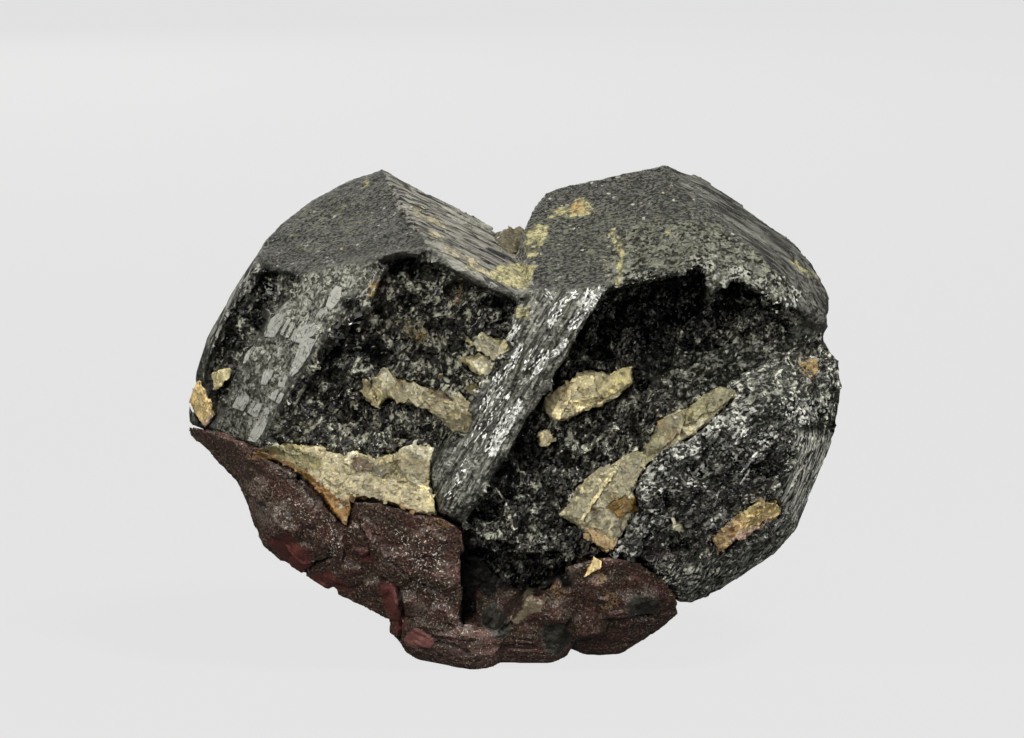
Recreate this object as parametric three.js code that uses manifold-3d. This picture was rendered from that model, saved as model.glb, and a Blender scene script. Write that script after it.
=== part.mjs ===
// A heart-shaped twin of two columbite crystals, grown together over a mass of garnet, with flakes of
// pale mica, grains of feldspar and a grain of quartz set in its broken front. Millimetres, +Z up.
// Points are given as they are seen from the front: across (to +X), up in the view, and near, which is
// the distance in front of the middle of the twin (to -Y).
import * as THREE from 'three';
import { ConvexGeometry } from 'three/addons/geometries/ConvexGeometry.js';
import { mergeVertices } from 'three/addons/utils/BufferGeometryUtils.js';
import Module from 'manifold-3d';

const wasm = await Module();
wasm.setup();

// Driving dimensions
const HALF_WIDTH = 30;
const HALF_DEPTH = 16.1;
const PEAK_UP = 46;
const CREST_NEAR = -2;
const LIP_NEAR = 14;
const TOE_NEAR = 9;
const VIEW_TILT = THREE.MathUtils.degToRad(10);
const SEAT_GAP = 0.3;
const REACH = 60;
const WELD = 1e-4;

// How far a break's corners scatter, as a share of its grid, and what stands out of the faces
const SCATTER = 0.7;
const LEDGE_ROOT = 1.5;
const PLATE_ROOT = 1;
const PLATE_PROUD = 0.45;
const ROOF_LEDGE = { width: 0.5, height: 0.3 };
const BAND_LEDGE = { height: 0.35, step: 0.15 };
const BACK_LEDGE = { height: 0.4, step: 0.2 };

// Small garnets: how deep they sit in the mass, and where a dodecahedron's faces lie between its middle
// and its corners
const GARNET_SUNK = 0.62;
const DODECAHEDRON_FACE = 0.795;

// Picture to part: a point seen at (across, up) and lying near in front of the middle plane. The front
// toe of the foot, which is seen lowest, stands at height 0.
const SEEN = new THREE.Matrix4().set(
  1, 0, 0, 0,
  0, 0, -1, 0,
  0, 1 / Math.cos(VIEW_TILT), Math.tan(VIEW_TILT), -TOE_NEAR * Math.tan(VIEW_TILT),
  0, 0, 0, 1,
);

// Repeatable scatter for the broken surfaces
function dice(seed) {
  let state = seed;
  return () => {
    state = (state * 1664525 + 1013904223) % 4294967296;
    return state / 4294967296;
  };
}

// Closed mesh to solid, and back
function solid(geometry) {
  const bare = geometry.clone();
  bare.deleteAttribute('normal');
  bare.deleteAttribute('uv');
  const merged = mergeVertices(bare, WELD);
  return new wasm.Manifold(new wasm.Mesh({
    numProp: 3,
    vertProperties: new Float32Array(merged.attributes.position.array),
    triVerts: new Uint32Array(merged.index.array),
  }));
}

function geometryOf(body) {
  const mesh = body.getMesh();
  const geometry = new THREE.BufferGeometry();
  geometry.setAttribute('position', new THREE.BufferAttribute(new Float32Array(mesh.vertProperties), 3));
  geometry.setIndex(new THREE.BufferAttribute(new Uint32Array(mesh.triVerts), 1));
  geometry.computeVertexNormals();
  return geometry;
}

const joined = (bodies) => bodies.reduce((sum, body) => sum.add(body));

// A convex lump or crystal with flat faces through its corners
const lump = (...corners) => solid(new ConvexGeometry(corners.flat().map((c) => new THREE.Vector3(...c))));

// A flat face through three corners: near at any point seen on it
function face(a, b, c) {
  const plane = new THREE.Plane().setFromCoplanarPoints(
    new THREE.Vector3(...a), new THREE.Vector3(...b), new THREE.Vector3(...c));
  const { normal, constant } = plane;
  return (across, up) => -(normal.x * across + normal.y * up + constant) / normal.z;
}

const onFace = (faceNear, outline) => outline.map(([across, up]) => [across, up, faceNear(across, up)]);

// An outline moved outwards by a margin, for the seat around an inset piece
function widened(outline, margin) {
  const points = outline.map((p) => new THREE.Vector2(...p));
  const turn = THREE.ShapeUtils.area(points) > 0 ? 1 : -1;
  return points.map((point, i) => {
    const before = points[(i + points.length - 1) % points.length];
    const after = points[(i + 1) % points.length];
    const inDirection = point.clone().sub(before).normalize();
    const outDirection = after.clone().sub(point).normalize();
    const bisector = new THREE.Vector2(inDirection.y + outDirection.y, -inDirection.x - outDirection.x);
    const spread = Math.max(bisector.lengthSq() / 2, 0.5);
    return [point.x + (turn * margin * bisector.x) / spread, point.y + (turn * margin * bisector.y) / spread];
  });
}

// A slab of an outline, between two surfaces that give near at each corner
function slab(outline, backNear, frontNear) {
  const shape = new THREE.Shape(outline.map((p) => new THREE.Vector2(...p)));
  const geometry = new THREE.ExtrudeGeometry(shape, { depth: 1, bevelEnabled: false });
  const place = geometry.attributes.position;
  for (let i = 0; i < place.count; i += 1) {
    const surface = place.getZ(i) > 0.5 ? frontNear : backNear;
    place.setZ(i, surface(place.getX(i), place.getY(i)));
  }
  return solid(geometry);
}

const FRONT = 1;
const BACK = -1;
const far = () => -REACH;
const nearest = () => REACH;

// What is broken away inside an outline, down to a rough floor: a grid whose corners are scattered. The
// side is FRONT or BACK.
function brokenAway(side, outline, floorNear, { cell, rough, seed }) {
  const box = new THREE.Box2().setFromPoints(outline.map((p) => new THREE.Vector2(...p)));
  const size = box.getSize(new THREE.Vector2()).addScalar(cell);
  const middle = box.getCenter(new THREE.Vector2());
  const columns = Math.round(size.x / cell);
  const rows = Math.round(size.y / cell);
  const geometry = new THREE.BoxGeometry(size.x, size.y, 1, columns, rows, 1);
  geometry.deleteAttribute('normal');
  geometry.deleteAttribute('uv');
  const grid = mergeVertices(geometry, WELD);
  const place = grid.attributes.position;
  const random = dice(seed);
  for (let i = 0; i < place.count; i += 1) {
    const jitterAcross = (random() - 0.5) * cell * SCATTER;
    const jitterUp = (random() - 0.5) * cell * SCATTER;
    const depth = random();
    const edge = Math.abs(place.getX(i)) > size.x / 2 - WELD || Math.abs(place.getY(i)) > size.y / 2 - WELD;
    const across = middle.x + place.getX(i) + (edge ? 0 : jitterAcross);
    const up = middle.y + place.getY(i) + (edge ? 0 : jitterUp);
    const inner = place.getZ(i) * side < 0;
    place.setXYZ(i, across, up, inner ? floorNear(across, up) - side * rough * depth : side * REACH);
  }
  return solid(grid).intersect(slab(outline, far, nearest));
}

// Roof faces of the two individuals
const LEFT_PEAK = [-12.1, PEAK_UP - 0.2, CREST_NEAR];
const LEFT_RIDGE_FOOT = [-7.7, 38.6, LIP_NEAR + 1];
const VALLEY_FOOT = [1.6, 34.6, LIP_NEAR - 0.5];
const RIGHT_PEAK = [13.8, PEAK_UP + 0.2, CREST_NEAR];
const leftRoof = face(LEFT_PEAK, [-10.5, 38.2, LIP_NEAR - 0.5], [-23.9, 37, 5]);
const leftFlank = face(LEFT_PEAK, LEFT_RIDGE_FOOT, VALLEY_FOOT);
const rightRoof = face(RIGHT_PEAK, [1.4, 35, LIP_NEAR - 0.5], [8.9, 35.1, LIP_NEAR + 1]);

function leftIndividual() {
  const roof = onFace(leftRoof, [
    [-15.2, 44.8], [-18.7, 42.9], [-21, 41.1], [-22.7, 39.4], [-23.9, 37.4], [-19.6, 36], [-15.9, 37],
    [-10.6, 38.3],
  ]);
  const flank = onFace(leftFlank, [[-6, 42.5], [-1.4, 40.1], [0.8, 38.8], [3, 36.4]]);
  const rim = [[-26.2, 33.8, 1], [-28.3, 30.1, 1], [-29.2, 27.2, 1], [-29.9, 23.6, 2], [-29.8, 22.4, 2]];
  const band = [
    [-20.5, 34.3, 9.8], [-24.7, 28.3, 9], [-27.9, 21.7, 6.5], [-13.1, 36.1, 13.5], [-17.9, 29.7, 14],
    [-21.6, 23.7, 13.5], [-23.2, 20, 12.5],
  ];
  const front = [[4, 24.6, 15], [-4.1, 13.1, 15], [-6.9, 9, 8], [-19, 13, 5]];
  const back = [
    [-20, 37.1, -9], [-9, 40.9, -11], [-2, 37.4, -9], [-25, 30.6, -9], [-14, 34, -HALF_DEPTH],
    [-3, 32, -HALF_DEPTH], [-27, 24, -6], [-14, 18.5, -16.5], [-24, 19, -9], [-4, 6, -10],
  ];
  return lump([LEFT_PEAK, LEFT_RIDGE_FOOT, VALLEY_FOOT], roof, flank, rim, band, front, back);
}

function rightIndividual() {
  const roof = onFace(rightRoof, [
    [7.8, 44.9], [4.1, 44.1], [2.8, 43.6], [1.8, 42.3], [0.9, 40.4], [1.5, 35], [7.8, 34.8], [11.5, 35.5],
    [16.8, 36.8],
  ]);
  const shoulder = [
    [14.8, 45.7, -2], [18.3, 41.7, 4.5], [21.5, 38.6, 8.5], [23.9, 36.1, 11], [23.9, 33.8, 12.5],
    [28.3, 32.1, 6],
  ];
  const rim = [
    [17, 44.9, -2.5], [20.1, 42.9, -2.5], [23.1, 40.8, -2], [26, 38.6, -1], [27.1, 37.1, 0],
    [28, 35.7, 1], [28.8, 33.9, 2], [28.6, 31.8, 3], [27.8, 30.2, 4],
  ];
  const front = [[-1.7, 26.8, 14], [-7, 14, 15.5], [11.5, 13.6, 14], [4.1, 4, 7]];
  const back = [
    [20, 38.6, -11], [8, 40, -12], [26, 32.4, -8], [16, 34, -HALF_DEPTH], [4, 32, -HALF_DEPTH],
    [16, 18.5, -16.5], [26, 20, -9], [6, 17, -12], [0, 6, -9], [10, 7, -9],
  ];
  return lump([RIGHT_PEAK], roof, shoulder, rim, front, back);
}

function lowerRightLobe() {
  const rim = [
    [28.2, 30.4, 1], [29.6, 28, 1], [HALF_WIDTH, 25.6, 1], [29.4, 21.7, 1], [28, 18.2, 1], [26, 14.6, 2],
    [25.9, 12.8, 2], [23.9, 10.6, 3], [19, 7.2, 4], [16.1, 6, 5],
  ];
  const front = [
    [12.4, 6.2, 8], [7.8, 9.9, 12], [11.5, 18.2, 16], [17, 21.8, 16.5], [22.5, 25, 15], [26.1, 24.6, 12.5],
    [25.2, 18.2, 12.5], [20.6, 11.7, 12.5], [15.1, 8.5, 12.5], [24, 29.5, 9],
  ];
  const back = [[22, 26, -12], [24, 18, -10], [14, 12, -12], [8, 10, -8], [18, 8, -6]];
  return lump(rim, front, back);
}

const wholeTwin = joined([leftIndividual(), rightIndividual(), lowerRightLobe()]);

// Near at the front or the back of a body, at any point seen on it
function surfaceOf(body, side) {
  const geometry = geometryOf(body).toNonIndexed();
  const place = geometry.attributes.position;
  const ray = new THREE.Ray(new THREE.Vector3(), new THREE.Vector3(0, 0, -side));
  const [a, b, c, hit] = [0, 1, 2, 3].map(() => new THREE.Vector3());
  return (across, up) => {
    let near = -side * REACH;
    ray.origin.set(across, up, side * REACH);
    for (let i = 0; i < place.count; i += 3) {
      a.fromBufferAttribute(place, i);
      b.fromBufferAttribute(place, i + 1);
      c.fromBufferAttribute(place, i + 2);
      if (ray.intersectTriangle(a, b, c, true, hit) && side * hit.z > side * near) near = hit.z;
    }
    return near;
  };
}

const twinFront = surfaceOf(wholeTwin, FRONT);
const twinBack = surfaceOf(wholeTwin, BACK);

// Corners on the broken underside, each with one below it, so that the base plane cuts a flat foot
const footed = (...corners) => [...corners, ...corners.map(([across, up, near]) => [across, up - 1, near])];

// Garnet: lumps with flat growth faces, from the left rim round under the middle to the right
const garnetLumps = [
  [
    [-HALF_WIDTH, 22.1, 1.5], [-29.8, 21.6, 1], [-27.6, 19.5, 2.5], [-25.5, 17.3, 4.5], [-28, 21.9, 7],
    [-26, 20.9, 10.4], [-23.3, 20.2, 13], [-21.5, 17, 13], [-20.4, 18.8, 13.4], [-22, 20, -4],
    [-20, 14, -2],
  ],
  [
    [-25.4, 17.2, 4], [-24.4, 15.4, 4.5], [-23.4, 13.7, 5], [-22.9, 11.3, 4.5], [-21.4, 9.9, 4.5],
    [-22.6, 18, 12.2], [-20.6, 18.5, 13.4], [-19, 16.2, 14], [-20.6, 12, 11.5], [-19, 10, 8],
    [-20, 16, -5], [-17, 11, -6],
  ],
  [
    [-19.2, 8.6, 6], [-17.1, 7.2, 7], [-21.2, 10, 4.6], [-21.4, 13.2, 10.6], [-19.4, 18, 14],
    [-16.4, 14.4, 15.2], [-15.8, 11, 14.2], [-16, 8, 10], [-15, 16, 3], [-15, 10, -6],
  ],
  [
    [-17, 15.6, 15], [-10.6, 15.2, 15.6], [-5.6, 13.5, 15.6], [-4.8, 12.7, 15.2], [-4.5, 6.2, 12],
    [-16.2, 6.8, 8], [-14.8, 7, 8], [-12.9, 6.1, 8], [-11.6, 4.5, 8.5], [-5, 3, 10],
    [-14, 12, -5], [-5, 12, -5], [-12, 7, -6],
  ],
  [
    ...footed([-9.4, 1.6, -0.5], [-8.1, 0.9, 3.8], [-5.5, 0.5, 6.3], [-3.3, 0, TOE_NEAR],
      [-2.2, 0.2, 7.8], [-1.4, 0.7, 5]), [-11.4, 3.4, 6.5], [-11.6, 4.5, 7.5], [-7.8, 4, 11.2], [-3.9, 2.8, 10.8],
    [-0.8, 3.4, 9], [-9, 3, -7], [0, 3, -8], [-10.3, 1.9, 2],
  ],
  [
    ...footed([0.3, 1, 3.2], [3, 0.6, 5.5], [4.4, 1.2, 2.1], [-1.8, 1, 5.5]), [-1.4, 3.7, 9.6], [1.6, 6.6, 12],
    [4.6, 5.6, 11.4], [5.4, 2.4, 5], [-2, 3, -8], [5, 3.4, -9], [0, 9, -6],
  ],
  [
    ...footed([5.4, 2, -2.5], [6.7, 1.5, 0.4], [8.5, 1.4, 0.9], [10, 2.2, -3.7]), [11.4, 3, 2], [13.4, 4.2, 4],
    [14.9, 5, 6], [15.1, 6, 8], [13.7, 8.1, 11], [11.5, 9.8, 13], [7.9, 10.2, 13.8], [4.6, 9.2, 13.2],
    [2.8, 7, 12.4], [5, 4.4, 9.6], [4, 4, -8], [11, 4.4, -9], [8, 10, -8],
  ],
  [
    ...footed([-9, 3.4, -9], [8, 3.6, -10], [-8, 2, 2], [8, 2.2, -2]), [12, 7, -11], [-14, 10, -10],
    [-12, 14, 4], [8, 12, 4], [0, 16, 0],
  ],
];

const garnetSpots = [
  [-22.4, 16.6, 2], [-20.4, 13.8, 2.6], [-18.8, 11.4, 2], [-18.4, 14.6, 2.2], [-15, 9.8, 2.4],
  [-13.6, 12.9, 2.6], [-10.6, 10.4, 3], [-7.8, 12.2, 2.4], [-6.4, 9, 2.2], [-9.6, 7, 2.4],
  [-12.4, 8.2, 1.8], [-6.2, 5.4, 2], [-8.2, 4.4, 1.8], [-4.8, 3.2, 1.5], [1.2, 3.8, 1.8],
  [3.6, 5.6, 2], [6.6, 4.8, 2.2], [9.4, 6.8, 2.4], [11.8, 7.2, 1.7], [7.8, 8.2, 2.2], [10, 5, 1.5],
];

// A convex lump grown to cut what lies against it: its box by twice the seat gap on every side, so that
// its slanting faces clear the gap too
function seatOf(corners) {
  const points = corners.map((c) => new THREE.Vector3(...c));
  const size = new THREE.Box3().setFromPoints(points).getSize(new THREE.Vector3());
  const growth = new THREE.Vector3(1, 1, 1).multiplyScalar(4 * SEAT_GAP).divide(size).addScalar(1);
  const middle = points.reduce((sum, p) => sum.add(p), new THREE.Vector3()).divideScalar(points.length);
  return solid(new ConvexGeometry(points.map((p) => p.clone().sub(middle).multiply(growth).add(middle))));
}

// Hollows of the broken front: the outline of each, its floor, and how coarse the break is
const hollows = {
  left: {
    outline: [
      [-13.1, 33.8], [-12, 36.1], [-10.6, 37.6], [-8, 37.6], [-6.3, 36.8], [-3.4, 35.1], [-0.9, 34.2],
      [0.5, 33.6], [-0.8, 30.1], [-3.2, 25.5], [-6, 20.9], [-7.4, 18.4], [-12.4, 18.8], [-17, 19.2],
      [-22.7, 20.1], [-20.6, 22.8], [-17.9, 27.8], [-15.6, 31],
    ],
    floor: face([-10, 36, 7.5], [-16, 22, 12], [-5, 22, 11]),
    grain: { cell: 1.1, rough: 2, seed: 11 },
  },
  right: {
    outline: [
      [8, 34.4], [11.5, 35.2], [15.1, 36.2], [16.9, 36.7], [17.5, 36.2], [17.7, 34], [19.8, 35.6],
      [21.5, 34.8], [26.1, 32.6], [27.6, 31],
      [25.2, 29.2], [20.6, 26.6], [17, 24.4], [12.4, 20], [8.6, 16.8], [5, 12.6], [1.4, 11.3],
      [-4.1, 12.9], [-4.5, 13.6], [-1.4, 19.1], [2.3, 25], [5.5, 30.6],
    ],
    floor: face([15, 35, 6], [0, 16, 10.5], [24, 29, 7.5]),
    grain: { cell: 1.1, rough: 2.4, seed: 23 },
  },
  rim: {
    outline: [
      [-22.5, 36.3], [-19.9, 36], [-20.6, 34], [-22.6, 31.5], [-24.6, 28.6], [-26, 26], [-27.6, 23.4],
      [-28.6, 25], [-28.2, 27.8], [-26.6, 31.5], [-24.6, 34.5],
    ],
    floor: face([-21, 35, 7.6], [-27, 24.5, 4.4], [-27.6, 28, 0.4]),
    grain: { cell: 1, rough: 1.2, seed: 37 },
  },
  foot: {
    outline: [
      [-4.5, 11.6], [0.5, 10.6], [4.1, 10.9], [6.9, 9.9], [5.5, 7.2], [4.1, 8.2], [1.4, 7.2],
      [-1.4, 4.4], [-3.2, 2.6], [-4.3, 2.6],
    ],
    floor: face([-4, 4, 4], [0, 10, 7], [6, 9, 6]),
    grain: { cell: 1, rough: 1.5, seed: 41 },
  },
};

const roofBreak = {
  outline: [
    [8.4, 36.2], [10.4, 38.6], [13, 39.6], [16.4, 39.4], [19.6, 38.4], [22.4, 36.4], [24.6, 34.2],
    [22.4, 34.2], [20.4, 35.2], [17.9, 36.3], [15.1, 36.6], [11.5, 35.8],
  ],
  floor: (across, up) => twinFront(across, up) + 0.2,
  grain: { cell: 1.1, rough: 0.8, seed: 29 },
};

const crags = {
  outline: [
    [26.8, 29.4], [28.2, 27.4], [28.6, 25.4], [27.9, 21.7], [26.5, 18.2], [24.4, 14.8], [22, 11.6],
    [18.4, 8.8], [15.2, 7.6], [12.2, 9.4], [9.8, 12.6], [11.2, 17.4], [13.4, 20.4], [17.4, 24.2],
    [21, 26.4], [24.8, 28.4],
  ],
  floor: (across, up) => twinFront(across, up) + 0.7,
  grain: { cell: 1.2, rough: 1.6, seed: 53 },
};

const backBreaks = [
  {
    outline: [[6, 25], [9.5, 28], [14, 27.4], [18.5, 24], [20, 19.6], [16, 17.4], [11.6, 18.6], [7, 20.6]],
    floor: (across, up) => twinBack(across, up) + 0.9,
    grain: { cell: 1.4, rough: 1.5, seed: 61 },
  },
  {
    outline: [[-21, 27], [-16, 29], [-13.4, 25], [-14.6, 19.6], [-19, 18.2], [-23, 21.4]],
    floor: (across, up) => twinBack(across, up) + 0.7,
    grain: { cell: 1.4, rough: 1.3, seed: 67 },
  },
];

// Straight ledges along a face, each a thin slab with pointed ends
function ledge([fromAcross, fromUp], [toAcross, toUp], width, height, faceNear, side = FRONT) {
  const along = new THREE.Vector2(toAcross - fromAcross, toUp - fromUp).normalize();
  const half = new THREE.Vector2(-along.y, along.x).multiplyScalar(width / 2);
  const taper = along.multiplyScalar(width);
  const outline = [
    [fromAcross, fromUp],
    [fromAcross + taper.x + half.x, fromUp + taper.y + half.y],
    [toAcross - taper.x + half.x, toUp - taper.y + half.y],
    [toAcross, toUp],
    [toAcross - taper.x - half.x, toUp - taper.y - half.y],
    [fromAcross + taper.x - half.x, fromUp + taper.y - half.y],
  ];
  const raised = (across, up) => faceNear(across, up) + side * height;
  const rooted = (across, up) => faceNear(across, up) - side * LEDGE_ROOT;
  return side === FRONT ? slab(outline, rooted, raised) : slab(outline, raised, rooted);
}

// Silver cleavage plates on the left band and long ledges down the middle band
const platesOnLeftBand = [
  [[-22.6, 32.5], [-20.8, 32.8], [-20.4, 31.2], [-22.2, 30.4]],
  [[-18.2, 34.9], [-15.8, 34.2], [-16.4, 31.9], [-18.3, 32.2]],
  [[-20.4, 31], [-18, 31.7], [-18.6, 27.4], [-20.4, 26.6]],
  [[-24.6, 29.6], [-23.4, 29.4], [-23.6, 27.9], [-24.8, 28.2]],
  [[-23, 27.4], [-21.9, 27.4], [-22.2, 26.2], [-23.2, 26.2]],
  [[-24.4, 22.6], [-23.2, 22.8], [-23.4, 20.4], [-24.6, 20.5]],
];

function leftBandPlates() {
  const shallow = (across, up) => twinFront(across, up) - PLATE_ROOT;
  const proud = (across, up) => twinFront(across, up) + PLATE_PROUD;
  return platesOnLeftBand.map((outline) => slab(outline, shallow, proud));
}

function middleBandLedges() {
  const lines = [
    [[7.6, 34.4], [1.2, 23.6], 0.7], [[6.4, 34.6], [-0.6, 22.2], 0.8], [[5, 34.6], [-2.4, 22], 0.7],
    [[3.4, 34.4], [-0.8, 27.2], 0.8], [[1.8, 34], [-1.6, 28], 0.7], [[1, 23.6], [-4.6, 14.4], 0.9],
    [[-0.9, 21.6], [-5.8, 14], 0.7], [[-2.8, 21.2], [-6.6, 15.2], 0.7],
  ];
  const { height, step } = BAND_LEDGE;
  return lines.map(([from, to, width], i) => ledge(from, to, width, height + step * (i % 3), twinFront));
}

function roofLedges() {
  const leftLines = [0, 1, 2, 3, 4].map((row) => [
    [-10.4 + 0.9 * row, 44 - 1.3 * row], [-1.4 + 0.5 * row, 38.9 - 0.8 * row],
  ]);
  return leftLines.map(([from, to]) => ledge(from, to, ROOF_LEDGE.width, ROOF_LEDGE.height, leftFlank));
}

function backLedges() {
  const rows = [0, 1, 2, 3, 4, 5];
  const left = rows.map((row) => [
    [-17.5 + 2.1 * row, 33.4 - 0.5 * row], [-23 + 3.1 * row, 20.6 - 1.3 * row], 1.1 + 0.3 * (row % 2),
  ]);
  const right = rows.map((row) => [
    [2.6 + 2.7 * row, 33.2 - 0.6 * row], [7.6 + 2.5 * row, 15.8 + 0.4 * row], 1.2 + 0.3 * (row % 3),
  ]);
  const { height, step } = BACK_LEDGE;
  return [...left, ...right].map(([from, to, width], i) => (
    ledge(from, to, width, height + step * (i % 3), twinBack, BACK)
  ));
}

// Flat pieces set in the broken front: outline, front face, thickness, and name
const mica = { color: 0xb8ac84, roughness: 0.4, metalness: 0 };
const feldspar = { color: 0xb08a58, roughness: 0.6, metalness: 0 };
const onTwin = (proud) => (across, up) => twinFront(across, up) + proud;
const onFloor = (hollow, proud) => (across, up) => hollow.floor(across, up) + proud;
const ROOTED = 4.6;
const insets = [
  {
    name: 'mica_ledge', finish: mica, thick: 3, front: face([-23, 20, 12.9], [-8, 20.4, 13.6], [-15, 13.5, 15.7]),
    outline: [
      [-23.4, 19.8], [-20.6, 20.5], [-18.1, 20.3], [-15.6, 19.4], [-14.4, 19.8], [-12.8, 19.2],
      [-10.1, 19.8], [-8.7, 20.4], [-7.6, 20.2], [-7.9, 17.6], [-7.2, 14.2], [-8.9, 14.4], [-10.6, 15.1],
      [-12.8, 15.7], [-15, 15.7], [-15.3, 13.2], [-16.5, 14.5], [-17.9, 16.5], [-19.7, 18.1], [-21.6, 19.1],
    ],
  },
  {
    name: 'mica_flake_left', finish: mica, thick: ROOTED, front: onFloor(hollows.left, 1),
    outline: [
      [-13.4, 24.6], [-12.8, 26.6], [-11.9, 27.3], [-11, 26.6], [-9.6, 26], [-8.3, 25.7], [-6.9, 25.4],
      [-5.5, 24.8], [-4.3, 24.4], [-4, 22.9], [-4.5, 21.8], [-5.7, 22.3], [-7.1, 23.3], [-8.5, 24.1],
      [-10.1, 24.5], [-11.7, 24.9], [-12.3, 24],
    ],
  },
  {
    name: 'mica_flake_upper', finish: mica, thick: ROOTED, front: onFloor(hollows.left, 1.4),
    outline: [[-3.2, 30.6], [-0.9, 29.8], [-0.5, 29.2], [-1.6, 28.8], [-3, 29.5]],
  },
  {
    name: 'mica_flake_beneath', finish: mica, thick: ROOTED, front: onFloor(hollows.left, 1.2),
    outline: [[-4.6, 28.4], [-3, 28.7], [-2, 28.1], [-2.3, 27.1], [-3.2, 26.9], [-4, 27.5]],
  },
  {
    name: 'mica_flake_right', finish: mica, thick: ROOTED, front: onFloor(hollows.right, 1.6),
    outline: [
      [2.7, 24.6], [4.1, 25.7], [5.5, 26.2], [5.8, 26.9], [7.1, 27.2], [8.7, 26.8], [10.6, 27.6],
      [10.7, 26.3], [9.6, 25.1], [7.8, 24.2], [6, 23.6], [4.6, 22.8], [3.4, 22.9], [2.8, 23.7],
    ],
  },
  {
    name: 'mica_vein', finish: mica, thick: ROOTED, front: face([5, 14, 12.4], [20, 25.5, 12.4], [9.3, 11.4, 13.4]),
    outline: [
      [4.1, 14.2], [5.4, 15.2], [5.9, 16.7], [7.7, 17.6], [9, 18.6], [10.6, 19.6], [11.9, 19.6],
      [13.2, 22.3], [14.6, 23.4], [16, 23.7], [17.2, 24.9], [18.8, 25.6], [20.3, 25.2], [17.9, 22.9],
      [16, 21.4], [13.6, 19.9], [12, 18.8], [11.2, 17.6], [10.8, 16.3], [11.1, 15.2], [9.9, 12.6],
      [9.3, 11.4], [8.4, 10.8], [6.8, 11.9], [5.8, 13.2],
    ],
  },
  {
    name: 'mica_speck_low', finish: mica, thick: 1.6, front: onTwin(-0.4),
    outline: [[14.1, 13.2], [14.7, 13.7], [15.3, 13.3], [15.2, 12.7], [14.4, 12.6]],
  },
  {
    name: 'feldspar_grain_right', finish: feldspar, thick: 2.4, front: onTwin(0.7),
    outline: [
      [18.1, 11.8], [18.8, 12.7], [20.2, 14], [22.1, 15.1], [23.8, 15.3], [24.2, 14.5], [22.4, 12.9],
      [20.3, 12.1], [18.8, 10.8],
    ],
  },
  {
    name: 'feldspar_grain_left', finish: feldspar, thick: 2.4,
    front: face([-29.6, 24, 2.6], [-27.6, 23.2, 7], [-29, 26.4, 3.6]),
    outline: [
      [-28.9, 26.4], [-28.4, 25.4], [-27.9, 24.3], [-27.4, 23.2], [-28.4, 22.2], [-29.4, 23.9],
      [-29.5, 25.3],
    ],
  },
  {
    name: 'feldspar_chip_left', finish: feldspar, thick: 1.8, front: onTwin(0.2),
    outline: [[-27.7, 27.1], [-26, 27.4], [-26.1, 26.8], [-27.4, 25.4]],
  },
  {
    name: 'feldspar_speck', finish: feldspar, thick: ROOTED, front: onFloor(hollows.right, 1.2),
    outline: [[2.2, 21.6], [2.9, 21.8], [3.4, 21.1], [3, 20.4], [2.4, 20.5]],
  },
];

const insetBodies = insets.map(({ outline, front, thick }) => slab(
  outline, (across, up) => front(across, up) - thick, front,
));
const insetSeats = insets.map(({ outline, front, thick }) => slab(
  widened(outline, SEAT_GAP), (across, up) => front(across, up) - thick - SEAT_GAP, nearest,
));

// Grain of quartz wedged in the back of the notch
const quartzCorners = [
  [-2.2, 39.6, 0], [-0.9, 40.3, -1], [0.8, 40.4, -1.5], [1.3, 39.6, -1], [0.7, 38.4, 3], [-0.3, 37.8, 6],
  [-1.6, 38.3, 5.4], [-1.6, 38.6, -5], [1, 38.8, -5.5], [0, 36.6, -2],
];

const garnetMass = joined(garnetLumps.map((corners) => lump(corners)));
const garnetFront = surfaceOf(garnetMass, FRONT);

// Small garnets standing out of the front of the mass, each a lump with flat faces turned at random, and
// larger by a margin for the seats that they need in the twin
function smallGarnets(margin) {
  const random = dice(71);
  return garnetSpots.map(([across, up, radius]) => {
    const crystal = new THREE.DodecahedronGeometry(radius + margin);
    crystal.rotateX(Math.PI * random());
    crystal.rotateY(Math.PI * random());
    crystal.translate(across, up, garnetFront(across, up) - GARNET_SUNK * radius);
    return solid(crystal);
  });
}

function cutTwin() {
  let twin = joined([wholeTwin, ...backLedges()]);
  for (const { outline, floor, grain } of [...Object.values(hollows), roofBreak, crags]) {
    twin = twin.subtract(brokenAway(FRONT, outline, floor, grain));
  }
  for (const { outline, floor, grain } of backBreaks) {
    twin = twin.subtract(brokenAway(BACK, outline, floor, grain));
  }
  twin = joined([twin, ...leftBandPlates(), ...middleBandLedges(), ...roofLedges()]);
  for (const corners of garnetLumps) twin = twin.subtract(seatOf(corners));
  for (const seat of smallGarnets(SEAT_GAP / DODECAHEDRON_FACE)) twin = twin.subtract(seat);
  for (const seat of insetSeats) twin = twin.subtract(seat);
  return twin.subtract(seatOf(quartzCorners));
}

function cutGarnet() {
  let garnet = joined([garnetMass, ...smallGarnets(0)]);
  for (const seat of insetSeats) garnet = garnet.subtract(seat);
  const ground = new THREE.BoxGeometry(2 * REACH, 2 * REACH, REACH).translate(0, 0, -REACH / 2);
  return solid(geometryOf(garnet).applyMatrix4(SEEN)).subtract(solid(ground));
}

// Assembly
const standing = (body) => geometryOf(body).applyMatrix4(SEEN);

function piece(name, geometry, finish) {
  const mesh = new THREE.Mesh(geometry, new THREE.MeshStandardMaterial(finish));
  mesh.name = name;
  return mesh;
}

const specimen = new THREE.Group();
specimen.add(
  piece('columbite_twin', standing(cutTwin()), { color: 0x2a2826, roughness: 0.35, metalness: 0.6 }),
  piece('garnet', geometryOf(cutGarnet()), { color: 0x462d2a, roughness: 0.3, metalness: 0 }),
  piece('quartz_grain', standing(lump(quartzCorners)), { color: 0x8a7c66, roughness: 0.3, metalness: 0 }),
  ...insets.map(({ name, finish }, i) => piece(name, standing(insetBodies[i]), finish)),
);

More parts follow.
